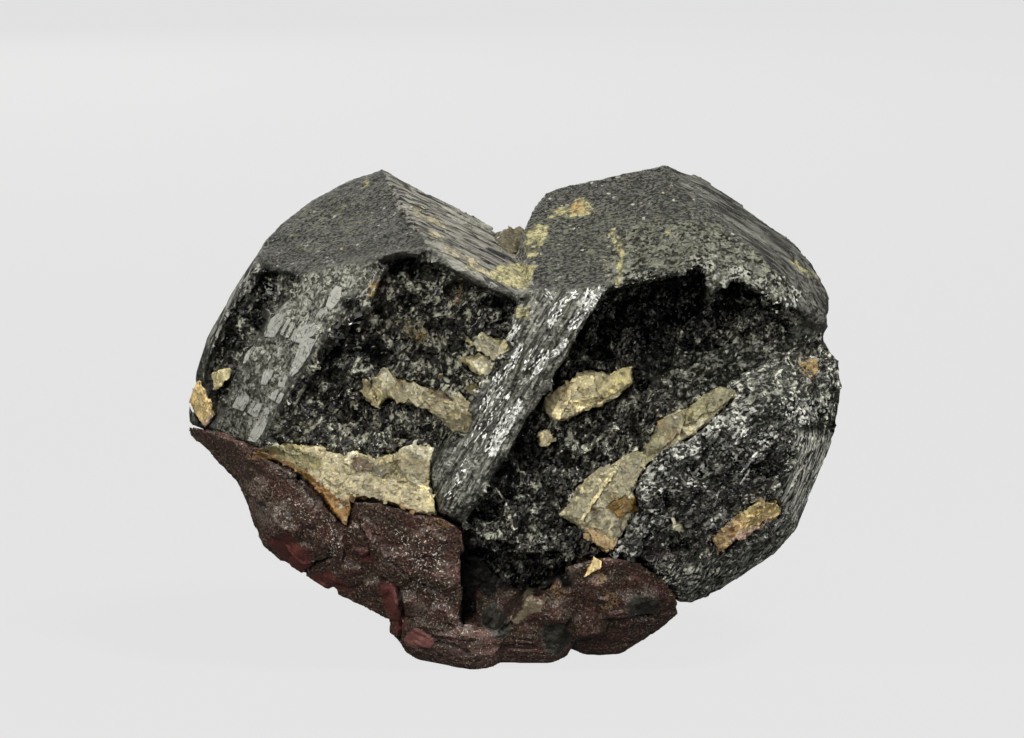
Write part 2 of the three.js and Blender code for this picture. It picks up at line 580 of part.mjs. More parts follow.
// The origin is the middle of the underside of the whole specimen
const box = new THREE.Box3().setFromObject(specimen);
specimen.position.set(-(box.min.x + box.max.x) / 2, -(box.min.y + box.max.y) / 2, 0);

export default specimen;
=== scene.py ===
# Twinned columbite crystal on garnet: the fine surface and the finish of every piece.
# Lengths inside the functions are millimetres, as on the specimen; MM turns them into Blender's metres.
import itertools
import math

import bpy
import numpy as np
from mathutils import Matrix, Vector
from mathutils.bvhtree import BVHTree


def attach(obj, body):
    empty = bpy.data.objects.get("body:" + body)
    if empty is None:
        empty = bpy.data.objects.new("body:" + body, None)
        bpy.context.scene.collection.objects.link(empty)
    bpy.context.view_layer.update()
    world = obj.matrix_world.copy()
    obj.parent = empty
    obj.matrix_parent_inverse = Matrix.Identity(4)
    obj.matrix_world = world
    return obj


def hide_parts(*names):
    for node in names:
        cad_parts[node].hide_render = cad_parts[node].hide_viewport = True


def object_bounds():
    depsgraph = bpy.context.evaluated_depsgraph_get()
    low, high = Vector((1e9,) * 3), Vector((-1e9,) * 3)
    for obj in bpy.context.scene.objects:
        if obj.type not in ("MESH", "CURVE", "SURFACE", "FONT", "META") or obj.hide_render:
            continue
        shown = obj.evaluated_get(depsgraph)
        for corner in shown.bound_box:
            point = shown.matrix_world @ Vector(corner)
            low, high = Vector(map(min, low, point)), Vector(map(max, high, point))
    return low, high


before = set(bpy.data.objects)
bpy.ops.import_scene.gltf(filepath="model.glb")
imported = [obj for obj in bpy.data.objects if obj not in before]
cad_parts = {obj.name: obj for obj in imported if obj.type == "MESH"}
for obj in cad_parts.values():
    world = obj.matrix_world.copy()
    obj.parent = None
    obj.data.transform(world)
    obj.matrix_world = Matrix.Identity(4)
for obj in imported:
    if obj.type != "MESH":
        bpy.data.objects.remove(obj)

CAD_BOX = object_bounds()
MM = 0.001

# The photograph's view: azimuth 0, ten degrees above the horizon, through a long lens
VIEW_TILT = math.radians(10)
PIXELS_PER_MM = 10.9
PHOTO_SIZE = (1024, 738)
PHOTO_BASE = (514.5, 668.0)
TOE_DEPTH = 9.49
CAMERA_AWAY = 2000
SIGHT_AWAY = 50
SENSOR = 36.0
TOWARDS_VIEWER = np.array([0, -math.cos(VIEW_TILT), math.sin(VIEW_TILT)])

# The studio: how wide the floor is in metres, and each light's name, place, width and power
FLOOR_WIDTH = 12
FLOOR_GREY = 0.02
FLOOR_GLOW = 0.75
LIGHT_AIM = (0, 0, 24)
LIGHT_TINT = (1.0, 0.99, 0.93)
LIGHTS = [("key", (130, -150, 330), 90, 1.5), ("front", (-60, -340, 120), 120, 0.7),
          ("left", (-300, -120, 160), 120, 0.35), ("right", (300, -140, 40), 120, 0.3),
          ("back", (-60, 330, 110), 200, 0.6)]
SKY_GREY = 0.8
SKY_STRENGTH = 0.05

# Skins: size of the small faces, and how much of them stays behind the crest
TWIN_SKIN = 0.32
TWIN_KEPT = 0.72
GARNET_SKIN = 0.24
FLAKE_SKIN = 0.14

# How deep the crest and the striated faces lie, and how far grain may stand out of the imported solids' box
CREST_DEPTH = 1.0
FACET_DEPTH = 10.0
PROUD = 0.3

# Loose pieces: how many splinters there are, how many points of a bed there are for each crumb, how near
# its bed a crumb has to lie, and how thick leaves and plates are
SPLINTERS = 6000
CRUMB_POINTS = 25
CRUMB_REACH = 1.5
LEAF_THICK = 0.12
PLATE_THICK = 0.5

# How soft the edges of outlines, strokes and leaves are, in pixels
SOFT = 3.0
SOFT_STROKE = 1.5
SOFT_LEAF = 1.5


def sloped(degrees):
    """A direction on the front, that many degrees up to the right."""
    return (math.cos(math.radians(degrees)), 0, math.sin(math.radians(degrees)))


BAND = sloped(60)
LEFT_LINES = sloped(-29)
RIGHT_LINES = sloped(-33)
LEFT_BRUSHED = sloped(35)
RIGHT_BRUSHED = sloped(15)
LOBE = sloped(30)
LOW_LINES = sloped(62)
LAYERS = sloped(-6)

# The crystal's surfaces, as outlines in pixels of the photograph
SURFACES = {
    "left_roof": [(383, 168), (330, 185), (255, 255), (256, 268), (301, 276), (342, 265), (372, 254),
     (400, 251), (431, 247), (408, 225), (393, 200)],
    "left_facet": [(383, 168), (383, 135), (450, 167), (503, 198), (535, 291), (520, 294), (493, 289),
     (456, 269), (431, 247), (408, 225), (393, 200)],
    "right_roof": [(526, 228), (545, 195), (600, 174), (665, 160), (690, 189), (714, 214), (749, 247),
     (799, 300), (799, 307), (775, 300), (743, 288), (731, 281), (716, 289), (705, 285), (705, 271),
     (698, 267), (660, 273), (640, 282), (600, 290), (530, 289)],
    "right_facet": [(665, 160), (665, 128), (715, 146), (790, 190), (840, 235), (855, 290), (828, 330),
     (819, 335), (800, 305), (775, 275), (749, 247), (714, 214), (685, 189)],
    "olive": [(612, 240), (640, 222), (700, 225), (750, 247), (800, 300), (775, 300), (743, 288),
     (731, 281), (716, 289), (705, 285), (705, 271), (698, 267), (660, 273), (640, 282), (600, 290)],
    "left_band": [(373, 262), (380, 276), (345, 302), (322, 344), (297, 378), (282, 410), (265, 452),
     (211, 431), (231, 405), (246, 359), (269, 321), (292, 288), (301, 276), (342, 265)],
    "middle_band": [(523, 291), (602, 286), (591, 312), (576, 337), (563, 362), (547, 382), (525, 421),
     (505, 453), (475, 499), (462, 524), (440, 517), (428, 485), (430, 450), (470, 437), (477, 402),
     (496, 376), (510, 352), (511, 323)],
    "left_hollow": [(375, 266), (400, 256), (427, 256), (456, 275), (493, 295), (521, 299), (513, 323),
     (511, 352), (496, 376), (475, 402), (468, 435), (430, 450), (424, 458), (300, 458), (258, 451),
     (282, 410), (297, 378), (322, 344), (345, 302), (380, 276)],
    "right_hollow": [(602, 286), (640, 280), (698, 265), (706, 271), (706, 300), (731, 279), (775, 298),
     (802, 318), (780, 345), (700, 352), (640, 368), (690, 409), (648, 451), (600, 476), (600, 560),
     (546, 580), (475, 616), (462, 600), (462, 524), (475, 499), (505, 453), (525, 421), (547, 382),
     (563, 362), (576, 337), (591, 312)],
    "sparkle": [(700, 350), (780, 343), (819, 333), (845, 365), (845, 410), (835, 437), (800, 430),
     (740, 415), (690, 440), (650, 452), (690, 409), (640, 368)],
    "low_right": [(650, 452), (690, 440), (740, 415), (800, 430), (791, 467), (774, 497), (800, 520),
     (790, 545), (740, 575), (700, 602), (640, 575), (600, 560), (620, 520)],
    "low_facet": [(800, 430), (840, 436), (832, 460), (818, 492), (800, 512), (779, 511), (774, 497),
     (791, 467)],
    "left_break": [(256, 266), (300, 276), (292, 294), (269, 321), (246, 359), (231, 405), (215, 400),
     (216, 340), (235, 300)],
    "under_right": [(640, 562), (660, 556), (700, 556), (735, 552), (770, 538), (780, 512), (797, 506),
     (800, 525), (790, 545), (768, 562), (735, 582), (705, 604), (690, 605), (672, 598), (655, 578)],
    "left_edge": [(256, 264), (262, 270), (252, 290), (236, 312), (226, 338), (214, 352), (206, 350),
     (212, 330), (224, 308), (236, 284), (246, 268)]}
STRIATED = ("left_facet", "right_facet")
HOLLOWS = ("left_hollow", "right_hollow", "low_right", "left_break")

# Grooves of the surfaces: surface, direction, stretch, size, seed, jump and tilt of the small faces
GROOVES = [("left_band", BAND, 1.7, 0.6, 27, 0.14, 0.5), ("middle_band", BAND, 6, 0.55, 29, 0.2, 0.5),
           ("olive", BAND, 1, 0.6, 31, 0.15, 0.7), ("left_facet", LEFT_LINES, 12, 0.5, 35, 0.26, 0.5),
           ("right_facet", RIGHT_LINES, 12, 0.6, 37, 0.26, 0.5),
           ("streaked", LOW_LINES, 8, 0.5, 39, 0.2, 0.4)]

# Smooth cleavage plates on the left band, and the band's bevel, which has no cracks
PLATES = [
    [(265, 334), (272, 319), (280, 313), (289, 313), (279, 332), (275, 338), (266, 337)],
    [(281, 334), (290, 317), (293, 319), (284, 336)],
    [(286, 338), (294, 322), (297, 323), (290, 338)],
    [(327, 306), (331, 294), (337, 286), (343, 288), (342, 297), (335, 308), (331, 311)],
    [(316, 318), (321, 310), (328, 307), (329, 313), (324, 319)],
    [(296, 332), (301, 325), (316, 324), (318, 334), (310, 338), (318, 340), (310, 356), (299, 372),
     (291, 378), (291, 370), (297, 356), (301, 343), (290, 340)],
    [(244, 364), (247, 353), (256, 345), (259, 347), (252, 361)],
    [(262, 384), (264, 373), (270, 368), (275, 370), (273, 377), (267, 385)],
    [(279, 386), (281, 377), (286, 374), (290, 377), (285, 388)],
    [(270, 398), (276, 388), (281, 390), (276, 401)],
    [(277, 402), (282, 392), (286, 394), (281, 404)],
    [(233, 407), (238, 397), (247, 393), (252, 398), (244, 411)],
    [(248, 412), (255, 400), (264, 404), (258, 418)],
    [(262, 416), (267, 406), (272, 409), (268, 419)],
    [(249, 440), (253, 430), (258, 422), (266, 415), (270, 418), (264, 433), (257, 442)],
    [(211, 431), (217, 427), (222, 432), (219, 436)]]
LEFT_BEVEL = [
    (320, 341), (323, 345), (299, 380), (286, 408), (268, 448), (258, 449), (272, 420), (286, 392),
    (296, 372), (311, 353)]

# Deep holes in the break, also painted near black as painted shade, as places on the photograph: middle,
# half width, half height, depth in mm
PITS = [((368, 354), 27, 9, 2.2), ((375, 342), 12, 5, 1.2), ((350, 329), 15, 6, 1.6),
        ((382, 311), 15, 7, 1.6), ((404, 262), 26, 9, 2.0), ((425, 275), 16, 7, 1.2),
        ((330, 353), 9, 15, 1.6), ((336, 378), 12, 9, 1.2), ((410, 300), 12, 7, 1.0),
        ((446, 325), 14, 6, 1.0), ((470, 285), 22, 6, 1.6), ((500, 305), 16, 6, 1.6),
        ((345, 415), 14, 7, 0.9), ((396, 455), 14, 6, 1.2), ((425, 428), 10, 6, 0.9),
        ((335, 396), 14, 6, 0.9), ((378, 362), 10, 5, 0.8), ((432, 352), 12, 5, 0.8),
        ((370, 404), 9, 5, 0.8), ((458, 345), 8, 6, 0.8), ((268, 285), 12, 12, 1.6),
        ((262, 315), 9, 16, 1.4), ((236, 340), 9, 12, 1.0), ((225, 398), 8, 11, 1.0),
        ((672, 305), 30, 22, 2.4), ((640, 312), 26, 16, 1.8), ((697, 285), 8, 16, 1.8),
        ((727, 310), 12, 12, 1.4), ((655, 350), 18, 24, 1.8), ((610, 330), 16, 12, 1.2),
        ((600, 352), 12, 10, 1.2), ((700, 345), 22, 8, 1.0), ((646, 380), 12, 14, 1.2),
        ((527, 455), 12, 16, 1.2), ((505, 480), 12, 16, 1.0), ((545, 465), 10, 10, 0.9),
        ((487, 510), 12, 10, 1.2), ((470, 560), 7, 34, 2.0), ((485, 556), 16, 10, 1.6),
        ((560, 578), 11, 17, 2.2), ((505, 545), 22, 5, 1.4), ((580, 556), 12, 6, 1.2),
        ((700, 470), 14, 9, 0.8), ((660, 500), 12, 12, 0.8), ((735, 460), 12, 8, 0.8),
        ((760, 470), 12, 8, 0.8), ((680, 545), 12, 8, 0.7)]

# Where the cleavage flashes, as strokes on the photograph: from, to, half width and how densely slivers lie.
# FLASH_WAY is the way that the slivers lean
FLASHES = [((601, 289), (587, 312), 3.0, 1.6), ((592, 293), (570, 332), 4.5, 0.4),
           ((566, 342), (553, 355), 3.0, 1.2), ((549, 352), (531, 380), 2.5, 0.35),
           ((521, 402), (491, 455), 3.5, 1.0), ((513, 405), (486, 448), 3.0, 0.5),
           ((517, 326), (503, 350), 3.0, 1.0), ((522, 345), (505, 375), 3.5, 0.5),
           ((560, 305), (548, 325), 5.0, 0.3), ((500, 375), (480, 408), 4.0, 0.25),
           ((545, 292), (552, 300), 3.0, 0.3), ((470, 460), (448, 500), 5.0, 0.15),
           ((576, 292), (560, 306), 3.0, 0.4), ((540, 350), (520, 385), 8.0, 0.1),
           ((505, 390), (470, 450), 8.0, 0.1), ((431, 300), (442, 283), 0.5, 1.6),
           ((428, 304), (437, 290), 0.4, 1.2), ((452, 317), (468, 300), 0.5, 1.6),
           ((446, 309), (459, 297), 0.4, 1.0), ((485, 297), (490, 291), 0.4, 1.2),
           ((490, 297), (495, 291), 0.4, 1.2), ((474, 326), (484, 312), 0.5, 1.0),
           ((343, 325), (360, 323), 0.5, 0.8), ((352, 347), (390, 347), 0.6, 0.35),
           ((745, 466), (755, 452), 0.6, 2.0), ((740, 472), (750, 459), 0.6, 1.5),
           ((735, 442), (742, 430), 0.8, 1.2), ((715, 495), (721, 486), 0.6, 1.5),
           ((738, 485), (748, 470), 0.6, 1.0), ((776, 525), (784, 518), 2.0, 0.9),
           ((475, 560), (495, 600), 6.0, 0.05), ((618, 550), (622, 546), 2.0, 1.5)]
FLASH_WAY = np.array([0.1, -0.35, 0.6])

# How light the break is, partly its own tone and partly painted light and shade: middle, half width and
# half height on the photograph, and share of light, with BREAK_DARK elsewhere
BREAK_LIGHT = [
    ((410, 330), 60, 50, 1.0), ((370, 430), 90, 50, 0.82), ((460, 370), 55, 65, 1.0),
    ((320, 370), 40, 60, 0.7), ((440, 285), 60, 30, 1.0), ((240, 330), 40, 60, 0.7),
    ((275, 285), 25, 20, 0.4), ((560, 430), 60, 70, 0.62), ((520, 500), 50, 60, 0.58),
    ((640, 420), 60, 60, 0.5), ((530, 540), 55, 18, 0.9), ((575, 530), 30, 30, 0.4),
    ((650, 490), 40, 40, 0.7), ((630, 530), 30, 30, 0.7), ((700, 460), 60, 40, 0.75),
    ((690, 520), 60, 40, 0.55), ((750, 490), 50, 30, 0.55), ((700, 570), 70, 40, 0.8),
    ((760, 540), 50, 30, 0.82), ((770, 380), 90, 50, 0.8), ((680, 370), 50, 20, 0.7),
    ((650, 310), 55, 34, 0.38)]
BREAK_DARK = 0.25

# Clusters of crystals with painted glints, and dark red and tan places: middle, half width and half height
CRYSTAL_GLINTS = [((648, 478), 13, 14), ((642, 492), 9, 6), ((638, 521), 14, 12), ((628, 537), 12, 12),
            ((620, 549), 7, 5), ((658, 465), 12, 8), ((674, 462), 14, 9), ((690, 450), 16, 10),
            ((724, 448), 18, 12), ((699, 482), 9, 6), ((650, 508), 8, 4), ((668, 476), 12, 5),
            ((745, 452), 14, 10), ((765, 440), 14, 6), ((776, 523), 9, 6), ((700, 264), 12, 6),
            ((718, 280), 12, 6), ((740, 272), 12, 8), ((765, 285), 14, 8), ((790, 296), 12, 8),
            ((600, 300), 6, 10), ((585, 302), 8, 8), ((720, 424), 24, 9), ((800, 410), 22, 12),
            ((630, 275), 18, 6), ((275, 290), 8, 10), ((740, 412), 16, 8), ((700, 432), 10, 8),
            ((615, 372), 10, 6), ((665, 487), 14, 8), ((705, 470), 16, 7), ((643, 535), 14, 8),
            ((742, 472), 12, 7), ((690, 502), 12, 5), ((668, 520), 10, 5)]
MAROON = [((665, 553), 22, 6), ((640, 560), 12, 5), ((812, 372), 8, 10)]
TANNED = [((700, 545), 18, 12), ((410, 325), 30, 20), ((700, 565), 10, 8), ((808, 366), 14, 16),
          ((355, 405), 40, 20)]

# Painted highlights: thin pale lines along the lips where one surface ends and its edge catches the light:
# from, to and half width
LIP_HIGHLIGHTS = [
    ((400, 252), (432, 248), 0.8), ((432, 248), (458, 268), 0.9), ((458, 268), (495, 290), 0.9),
    ((495, 290), (522, 293), 0.9), ((345, 262), (400, 252), 0.6)]

# Mossy patches on the roof faces: middle, half width and half height
MOSS = [((335, 222), 40, 22), ((315, 248), 16, 8), ((366, 181), 12, 8), ((640, 240), 60, 30),
        ((700, 235), 40, 20), ((560, 230), 20, 30), ((300, 205), 20, 12)]

# Stains and crusts on the crystal, as outlines on the photograph, the orange ones as ovals. The first yellow
# one is the strongest, and OTHER_YELLOW is the strength of the others
YELLOW_STAINS = [
    [(500, 266), (518, 262), (534, 266), (533, 280), (524, 290), (508, 288), (494, 282), (484, 272)],
    [(523, 232), (540, 222), (549, 226), (546, 240), (540, 256), (528, 260), (522, 250)],
    [(545, 219), (556, 212), (566, 203), (580, 197), (590, 200), (597, 212), (585, 217), (565, 218)],
    [(608, 228), (616, 227), (622, 244), (628, 256), (625, 272), (617, 286), (611, 284), (616, 264),
     (612, 246)],
    [(458, 257), (474, 260), (486, 268), (498, 280), (484, 278), (466, 268)],
    [(664, 231), (672, 231), (674, 239), (666, 240)],
    [(787, 258), (800, 262), (816, 276), (808, 279), (794, 270)],
    [(516, 306), (530, 306), (531, 320), (522, 323), (515, 316)],
    [(360, 176), (372, 176), (372, 186), (360, 188)]]
OTHER_YELLOW = 0.74
CREAM_STAINS = [
    [(410, 207), (424, 211), (438, 219), (450, 228), (447, 232), (432, 226), (414, 215)],
    [(440, 244), (452, 246), (462, 256), (456, 260), (444, 252)],
    [(462, 258), (474, 260), (490, 272), (484, 278), (470, 268)],
    [(424, 226), (436, 230), (448, 240), (442, 242), (430, 236)],
    [(396, 318), (410, 316), (428, 326), (432, 342), (418, 345), (404, 334)],
    [(308, 421), (318, 422), (320, 429), (311, 430)]]
ORANGE_STAINS = [
    ((576, 206), 11, 7), ((376, 289), 8, 9), ((456, 296), 9, 9), ((418, 337), 8, 6), ((438, 377), 4, 4),
    ((808, 366), 8, 12)]


# Patterns, worked out for many points at once

# The table of random numbers for places in space: its length, and its steps along the three axes
TABLE = 9973
TABLE_STEPS = np.array([1, 157, 3109])


def scattered(cells, seed):
    """Four random numbers from 0 to 1 for each whole-number place in space."""
    numbers = np.random.default_rng(seed).random((TABLE, 4))
    return numbers[(cells.astype(int) @ TABLE_STEPS) % TABLE]


def facets(points, size, seed, jump, tilt):
    """Heights of a surface broken into small flat faces, each with its own level and slope."""
    cells = np.floor(points / size)
    nearest = np.full(len(points), np.inf)
    height = np.zeros(len(points))
    for step in itertools.product((-1, 0, 1), repeat=3):
        cell = cells + step
        way = points - (cell + scattered(cell, seed)[:, :3]) * size
        apart = (way * way).sum(1)
        closer = np.flatnonzero(apart < nearest)
        nearest[closer] = apart[closer]
        face = scattered(cell[closer], seed + 1)
        slope = (way[closer] * (face[:, :3] - 0.5)).sum(1)
        height[closer] = (face[:, 3] - 0.5) * jump + slope * tilt
    return height


def waves(points, size, seed):
    """Smooth swells from -1 to 1."""
    scaled = points / size
    corner = np.floor(scaled)
    part = scaled - corner
    part = part * part * (3 - 2 * part)
    total = np.zeros(len(points))
    for step in itertools.product((0, 1), repeat=3):
        share = np.prod(np.where(step, part, 1 - part), axis=1)
        total += share * scattered(corner + step, seed)[:, 0]
    return total * 2 - 1


def swells(points, size, seed):
    """Two swells from -1 to 1 at each point, one across and one up or down."""
    return np.stack([waves(points, size, seed), waves(points, size, seed + 1)], 1)


def unit(ways):
    """Directions brought to length one."""
    return ways / np.linalg.norm(ways, axis=-1, keepdims=True)


def drawn_along(points, direction, stretch):
    """The points with space shrunk along a direction, which draws a pattern out along it."""
    axis = unit(np.array(direction))
    return points - np.outer(points @ axis, axis) * (1 - 1 / stretch)


def seen(points):
    """Where points of the specimen lie on the photograph."""
    up = points[:, 2] * math.cos(VIEW_TILT) + (points[:, 1] + TOE_DEPTH) * math.sin(VIEW_TILT)
    return np.stack([PHOTO_BASE[0] + points[:, 0] * PIXELS_PER_MM, PHOTO_BASE[1] - up * PIXELS_PER_MM], 1)


def away_from(spots, start, side):
    """How far spots are from a straight side that begins at start."""
    share = np.clip(((spots - start) @ side) / (side @ side), 0, 1)
    return np.linalg.norm(spots - start - share[:, None] * side, axis=1)


def within(spots, outline, soft=SOFT):
    """1 inside an outline on the photograph, 0 outside it, with an edge some pixels soft."""
    corners = np.array(outline, float)
    nearest = np.full(len(spots), np.inf)
    inside = np.zeros(len(spots), bool)
    for start, end in zip(corners, np.roll(corners, -1, 0)):
        side = end - start
        nearest = np.minimum(nearest, away_from(spots, start, side))
        if side[1]:
            crossed = (start[1] > spots[:, 1]) != (end[1] > spots[:, 1])
            reached = start[0] + (spots[:, 1] - start[1]) / side[1] * side[0]
            inside ^= crossed & (spots[:, 0] < reached)
    return np.clip(np.where(inside, nearest, -nearest) / soft / 2 + 0.5, 0, 1)


def any_within(spots, outlines, soft=SOFT):
    """1 inside any of several outlines on the photograph."""
    return np.maximum.reduce([within(spots, outline, soft) for outline in outlines])


def struck(spots, strokes):
    """1 along straight strokes, from one place on the photograph to another, and 0 away from them."""
    share = np.zeros(len(spots))
    for start, end, half in strokes:
        side = np.array(end, float) - start
        share = np.maximum(share, np.clip((half - away_from(spots, start, side)) / SOFT_STROKE + 0.5, 0, 1))
    return share


def reach_of(spots, middle, wide, high):
    """How far spots are from the middle of an oval on the photograph, where 1 is its edge."""
    return np.linalg.norm((spots - middle) / (wide, high), axis=1)


def pitted(spots, pits):
    """How deep the holes are at each spot, in millimetres."""
    depth = np.zeros(len(spots))
    for *oval, deep in pits:
        depth = np.maximum(depth, deep * np.clip((1.1 - reach_of(spots, *oval)) / 0.2, 0, 1))
    return depth


def spotted(spots, ovals):
    """1 in the middle of oval places on the photograph, falling to 0 past their edges."""
    share = np.zeros(len(spots))
    for oval in ovals:
        share = np.maximum(share, np.clip(1.5 - reach_of(spots, *oval), 0, 1))
    return share


def break_tone_light_and_shade(spots):
    """How light the break is at places on the photograph, from 0, black, to 1, grey: partly the break's own
    tone and partly painted light and shade.
    """
    light = np.full(len(spots), BREAK_DARK)
    for *oval, share in BREAK_LIGHT:
        light += np.clip(1.5 - reach_of(spots, *oval), 0, 1) * (share - light)
    return light


# Working on meshes

def pick(piece):
    """Selects one object alone and makes it the active one."""
    bpy.ops.object.select_all(action="DESELECT")
    piece.select_set(True)
    bpy.context.view_layer.objects.active = piece


def added(name, data):
    """A new object in the scene."""
    made = bpy.data.objects.new(name, data)
    bpy.context.scene.collection.objects.link(made)
    return made


def edited(piece, operator, **settings):
    """Uses one mesh operator on the whole of a piece."""
    pick(piece)
    bpy.ops.object.mode_set(mode="EDIT")
    bpy.ops.mesh.select_all(action="SELECT")
    operator(**settings)
    bpy.ops.object.mode_set(mode="OBJECT")


def finished(piece, kind, **settings):
    """Adds a modifier to a piece and applies it."""
    modifier = piece.modifiers.new(kind.lower(), kind)
    for key, value in settings.items():
        setattr(modifier, key, value)
    pick(piece)
    bpy.ops.object.modifier_apply(modifier=modifier.name)


def skin_of(node, name, size):
    """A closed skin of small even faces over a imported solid, to be worked on in its place."""
    piece = added(name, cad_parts[node].data.copy())
    piece.data.materials.clear()
    edited(piece, bpy.ops.mesh.remove_doubles, threshold=1e-6)
    finished(piece, "REMESH", mode="VOXEL", voxel_size=size * MM)
    return piece


def read(rows, what, wide=3, kind=float):
    """One property of all the rows of a mesh, such as the place of each point."""
    flat = np.empty(len(rows) * wide, kind)
    rows.foreach_get(what, flat)
    return flat.reshape(-1, wide) if wide > 1 else flat


def points_of(piece):
    """The piece's points, in millimetres."""
    return read(piece.data.vertices, "co") / MM


def normals_of(piece):
    """The way that the surface faces at each point."""
    return read(piece.data.vertex_normals, "vector", kind=np.float32).astype(float)


def kept_in_box(points):
    """The points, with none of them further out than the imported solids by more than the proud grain."""
    low, high = (np.array(corner) / MM for corner in CAD_BOX)
    return np.clip(points, low - (PROUD, PROUD, 0), high + PROUD)


def move_points(piece, points):
    """Puts the piece's points, given in millimetres."""
    piece.data.vertices.foreach_set("co", (kept_in_box(points) * MM).ravel())
    piece.data.update()


def modelled(name, points, faces):
    """A new piece of points, in millimetres, and faces."""
    mesh = bpy.data.meshes.new(name)
    mesh.from_pydata((kept_in_box(points) * MM).tolist(), [], faces)
    return added(name, mesh)


def trees_of(pieces):
    """Pieces made ready for finding where lines of sight meet them."""
    graph = bpy.context.evaluated_depsgraph_get()
    return [BVHTree.FromObject(piece, graph) for piece in pieces]


def sight_of(spots):
    """A place far in front of the specimen on the line of sight through each place on the photograph."""
    across, down = np.array(spots, float).T
    up = (PHOTO_BASE[1] - down) / PIXELS_PER_MM
    height = (up - TOE_DEPTH * math.sin(VIEW_TILT)) / math.cos(VIEW_TILT)
    flat = np.stack([(across - PHOTO_BASE[0]) / PIXELS_PER_MM, np.zeros(len(up)), height], 1)
    return flat + TOWARDS_VIEWER * SIGHT_AWAY


def met(trees, starts):
    """Where lines of sight first meet the pieces, and how they face there. Lines that miss are left out."""
    places, facings = [], []
    for start in starts:
        hits = [tree.ray_cast(Vector(start) * MM, Vector(-TOWARDS_VIEWER)) for tree in trees]
        hits = [hit for hit in hits if hit[0]]
        if hits:
            place, facing, face, way = min(hits, key=lambda hit: hit[3])
            places.append(place)
            facings.append(facing)
    return np.array(places) / MM, np.array(facings)


def flat_through(trees, outline, tilt, rng):
    """A flat face through what lies behind an outline: a point of it and the way that it faces."""
    spots = np.array(outline, float)
    middle = spots.mean(0)
    tries = np.concatenate([spots * 0.7 + middle * 0.3, spots * 0.35 + middle * 0.65, [middle]])
    places, facing = met(trees, sight_of(tries))
    across = np.linalg.svd(places - places.mean(0))[2][2]
    across *= np.sign(across @ TOWARDS_VIEWER)
    across = across + facing.mean(0) * 0.5 + rng.normal(0, tilt, 3)
    if unit(across) @ TOWARDS_VIEWER < 0.5:
        across = unit(across) + TOWARDS_VIEWER
    return places.mean(0), unit(across)


def frayed(outline, step, depth, rng):
    """An outline on the photograph with its sides broken into short steps."""
    corners = np.array(outline, float)
    spots = []
    for start, end in zip(corners, np.roll(corners, -1, 0)):
        count = max(1, round(np.linalg.norm(end - start) / step))
        for i in range(count):
            spots.append(start + (end - start) * i / count + rng.normal(0, depth, 2) * (i > 0))
    return np.array(spots)


def thin_slabs(name, shapes):
    """One mesh of thin slabs. Each has its outline's corners, the face that they lie on and a thickness."""
    points, faces = [], []
    for starts, middle, facing, thick, inset in shapes:
        way = ((middle - starts) @ facing) / (-TOWARDS_VIEWER @ facing)
        top = starts - TOWARDS_VIEWER * way[:, None]
        centre = top.mean(0)
        reach = np.linalg.norm(top - centre, axis=1, keepdims=True)
        inner = top + (centre - top) * np.minimum(inset / np.maximum(reach, 0.01), 0.6)
        outer = top - facing * inset * 0.7
        ring, first = len(top), len(points)
        points.extend([*inner, *outer, *(outer - TOWARDS_VIEWER * thick)])
        faces.append([first + i for i in range(ring)])
        faces.append([first + 2 * ring + i for i in reversed(range(ring))])
        for low in (first, first + ring):
            for i in range(ring):
                after = (i + 1) % ring
                faces.append([low + after, low + i, low + ring + i, low + ring + after])
    piece = modelled(name, np.array(points), faces)
    edited(piece, bpy.ops.mesh.normals_make_consistent, inside=False)
    return piece


def thin_out(piece, weights, kept):
    """Leaves fewer faces where the weights are high."""
    group = piece.vertex_groups.new(name="behind")
    for level in (0.5, 1.0):
        chosen = np.flatnonzero(np.abs(weights - level) < 0.25)
        group.add([int(i) for i in chosen], level, "REPLACE")
    finished(piece, "DECIMATE", ratio=kept, vertex_group="behind")
    piece.vertex_groups.clear()


def paint(piece, name, columns):
    """Keeps up to four shares per point on the piece, for its finish to read."""
    shares = np.zeros((len(piece.data.vertices), 4), np.float32)
    for i, column in enumerate(columns):
        shares[:, i] = np.clip(column, 0, 1)
    layer = piece.data.attributes.new(name, "FLOAT_COLOR", "POINT")
    layer.data.foreach_set("color", shares.ravel())


def belong(piece, slot, finish, *nodes):
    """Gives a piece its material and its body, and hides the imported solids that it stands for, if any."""
    piece.data.materials.append(finish)
    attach(piece, "root")
    if nodes:
        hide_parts(*nodes)


def dress(piece, slot, finish, angle, *nodes):
    """Lets a piece belong to the part, and shades it smooth where it bends less than an angle."""
    belong(piece, slot, finish, *nodes)
    pick(piece)
    bpy.ops.object.shade_smooth_by_angle(angle=math.radians(angle))


# Finishes

def named(sockets, name):
    """The socket with that name, which no other socket of its node has."""
    return next(socket for socket in sockets if socket.identifier == name)


class Wire:
    """One output inside a finish. Sums and products written with it become Math nodes."""

    def __init__(self, finish, socket):
        self.finish = finish
        self.socket = socket

    def other(self, name):
        """Another output of the same node."""
        return Wire(self.finish, named(self.socket.node.outputs, name))

    def __add__(self, more):
        return self.finish.math("ADD", self, more)

    def __sub__(self, less):
        return self.finish.math("SUBTRACT", self, less)

    def __rsub__(self, whole):
        return self.finish.math("SUBTRACT", whole, self)

    def __mul__(self, times):
        return self.finish.math("MULTIPLY", self, times)

    def __pow__(self, power):
        return self.finish.math("POWER", self, power)

    def __abs__(self):
        return self.finish.math("ABSOLUTE", self, 0.0)

    __radd__ = __add__
    __rmul__ = __mul__


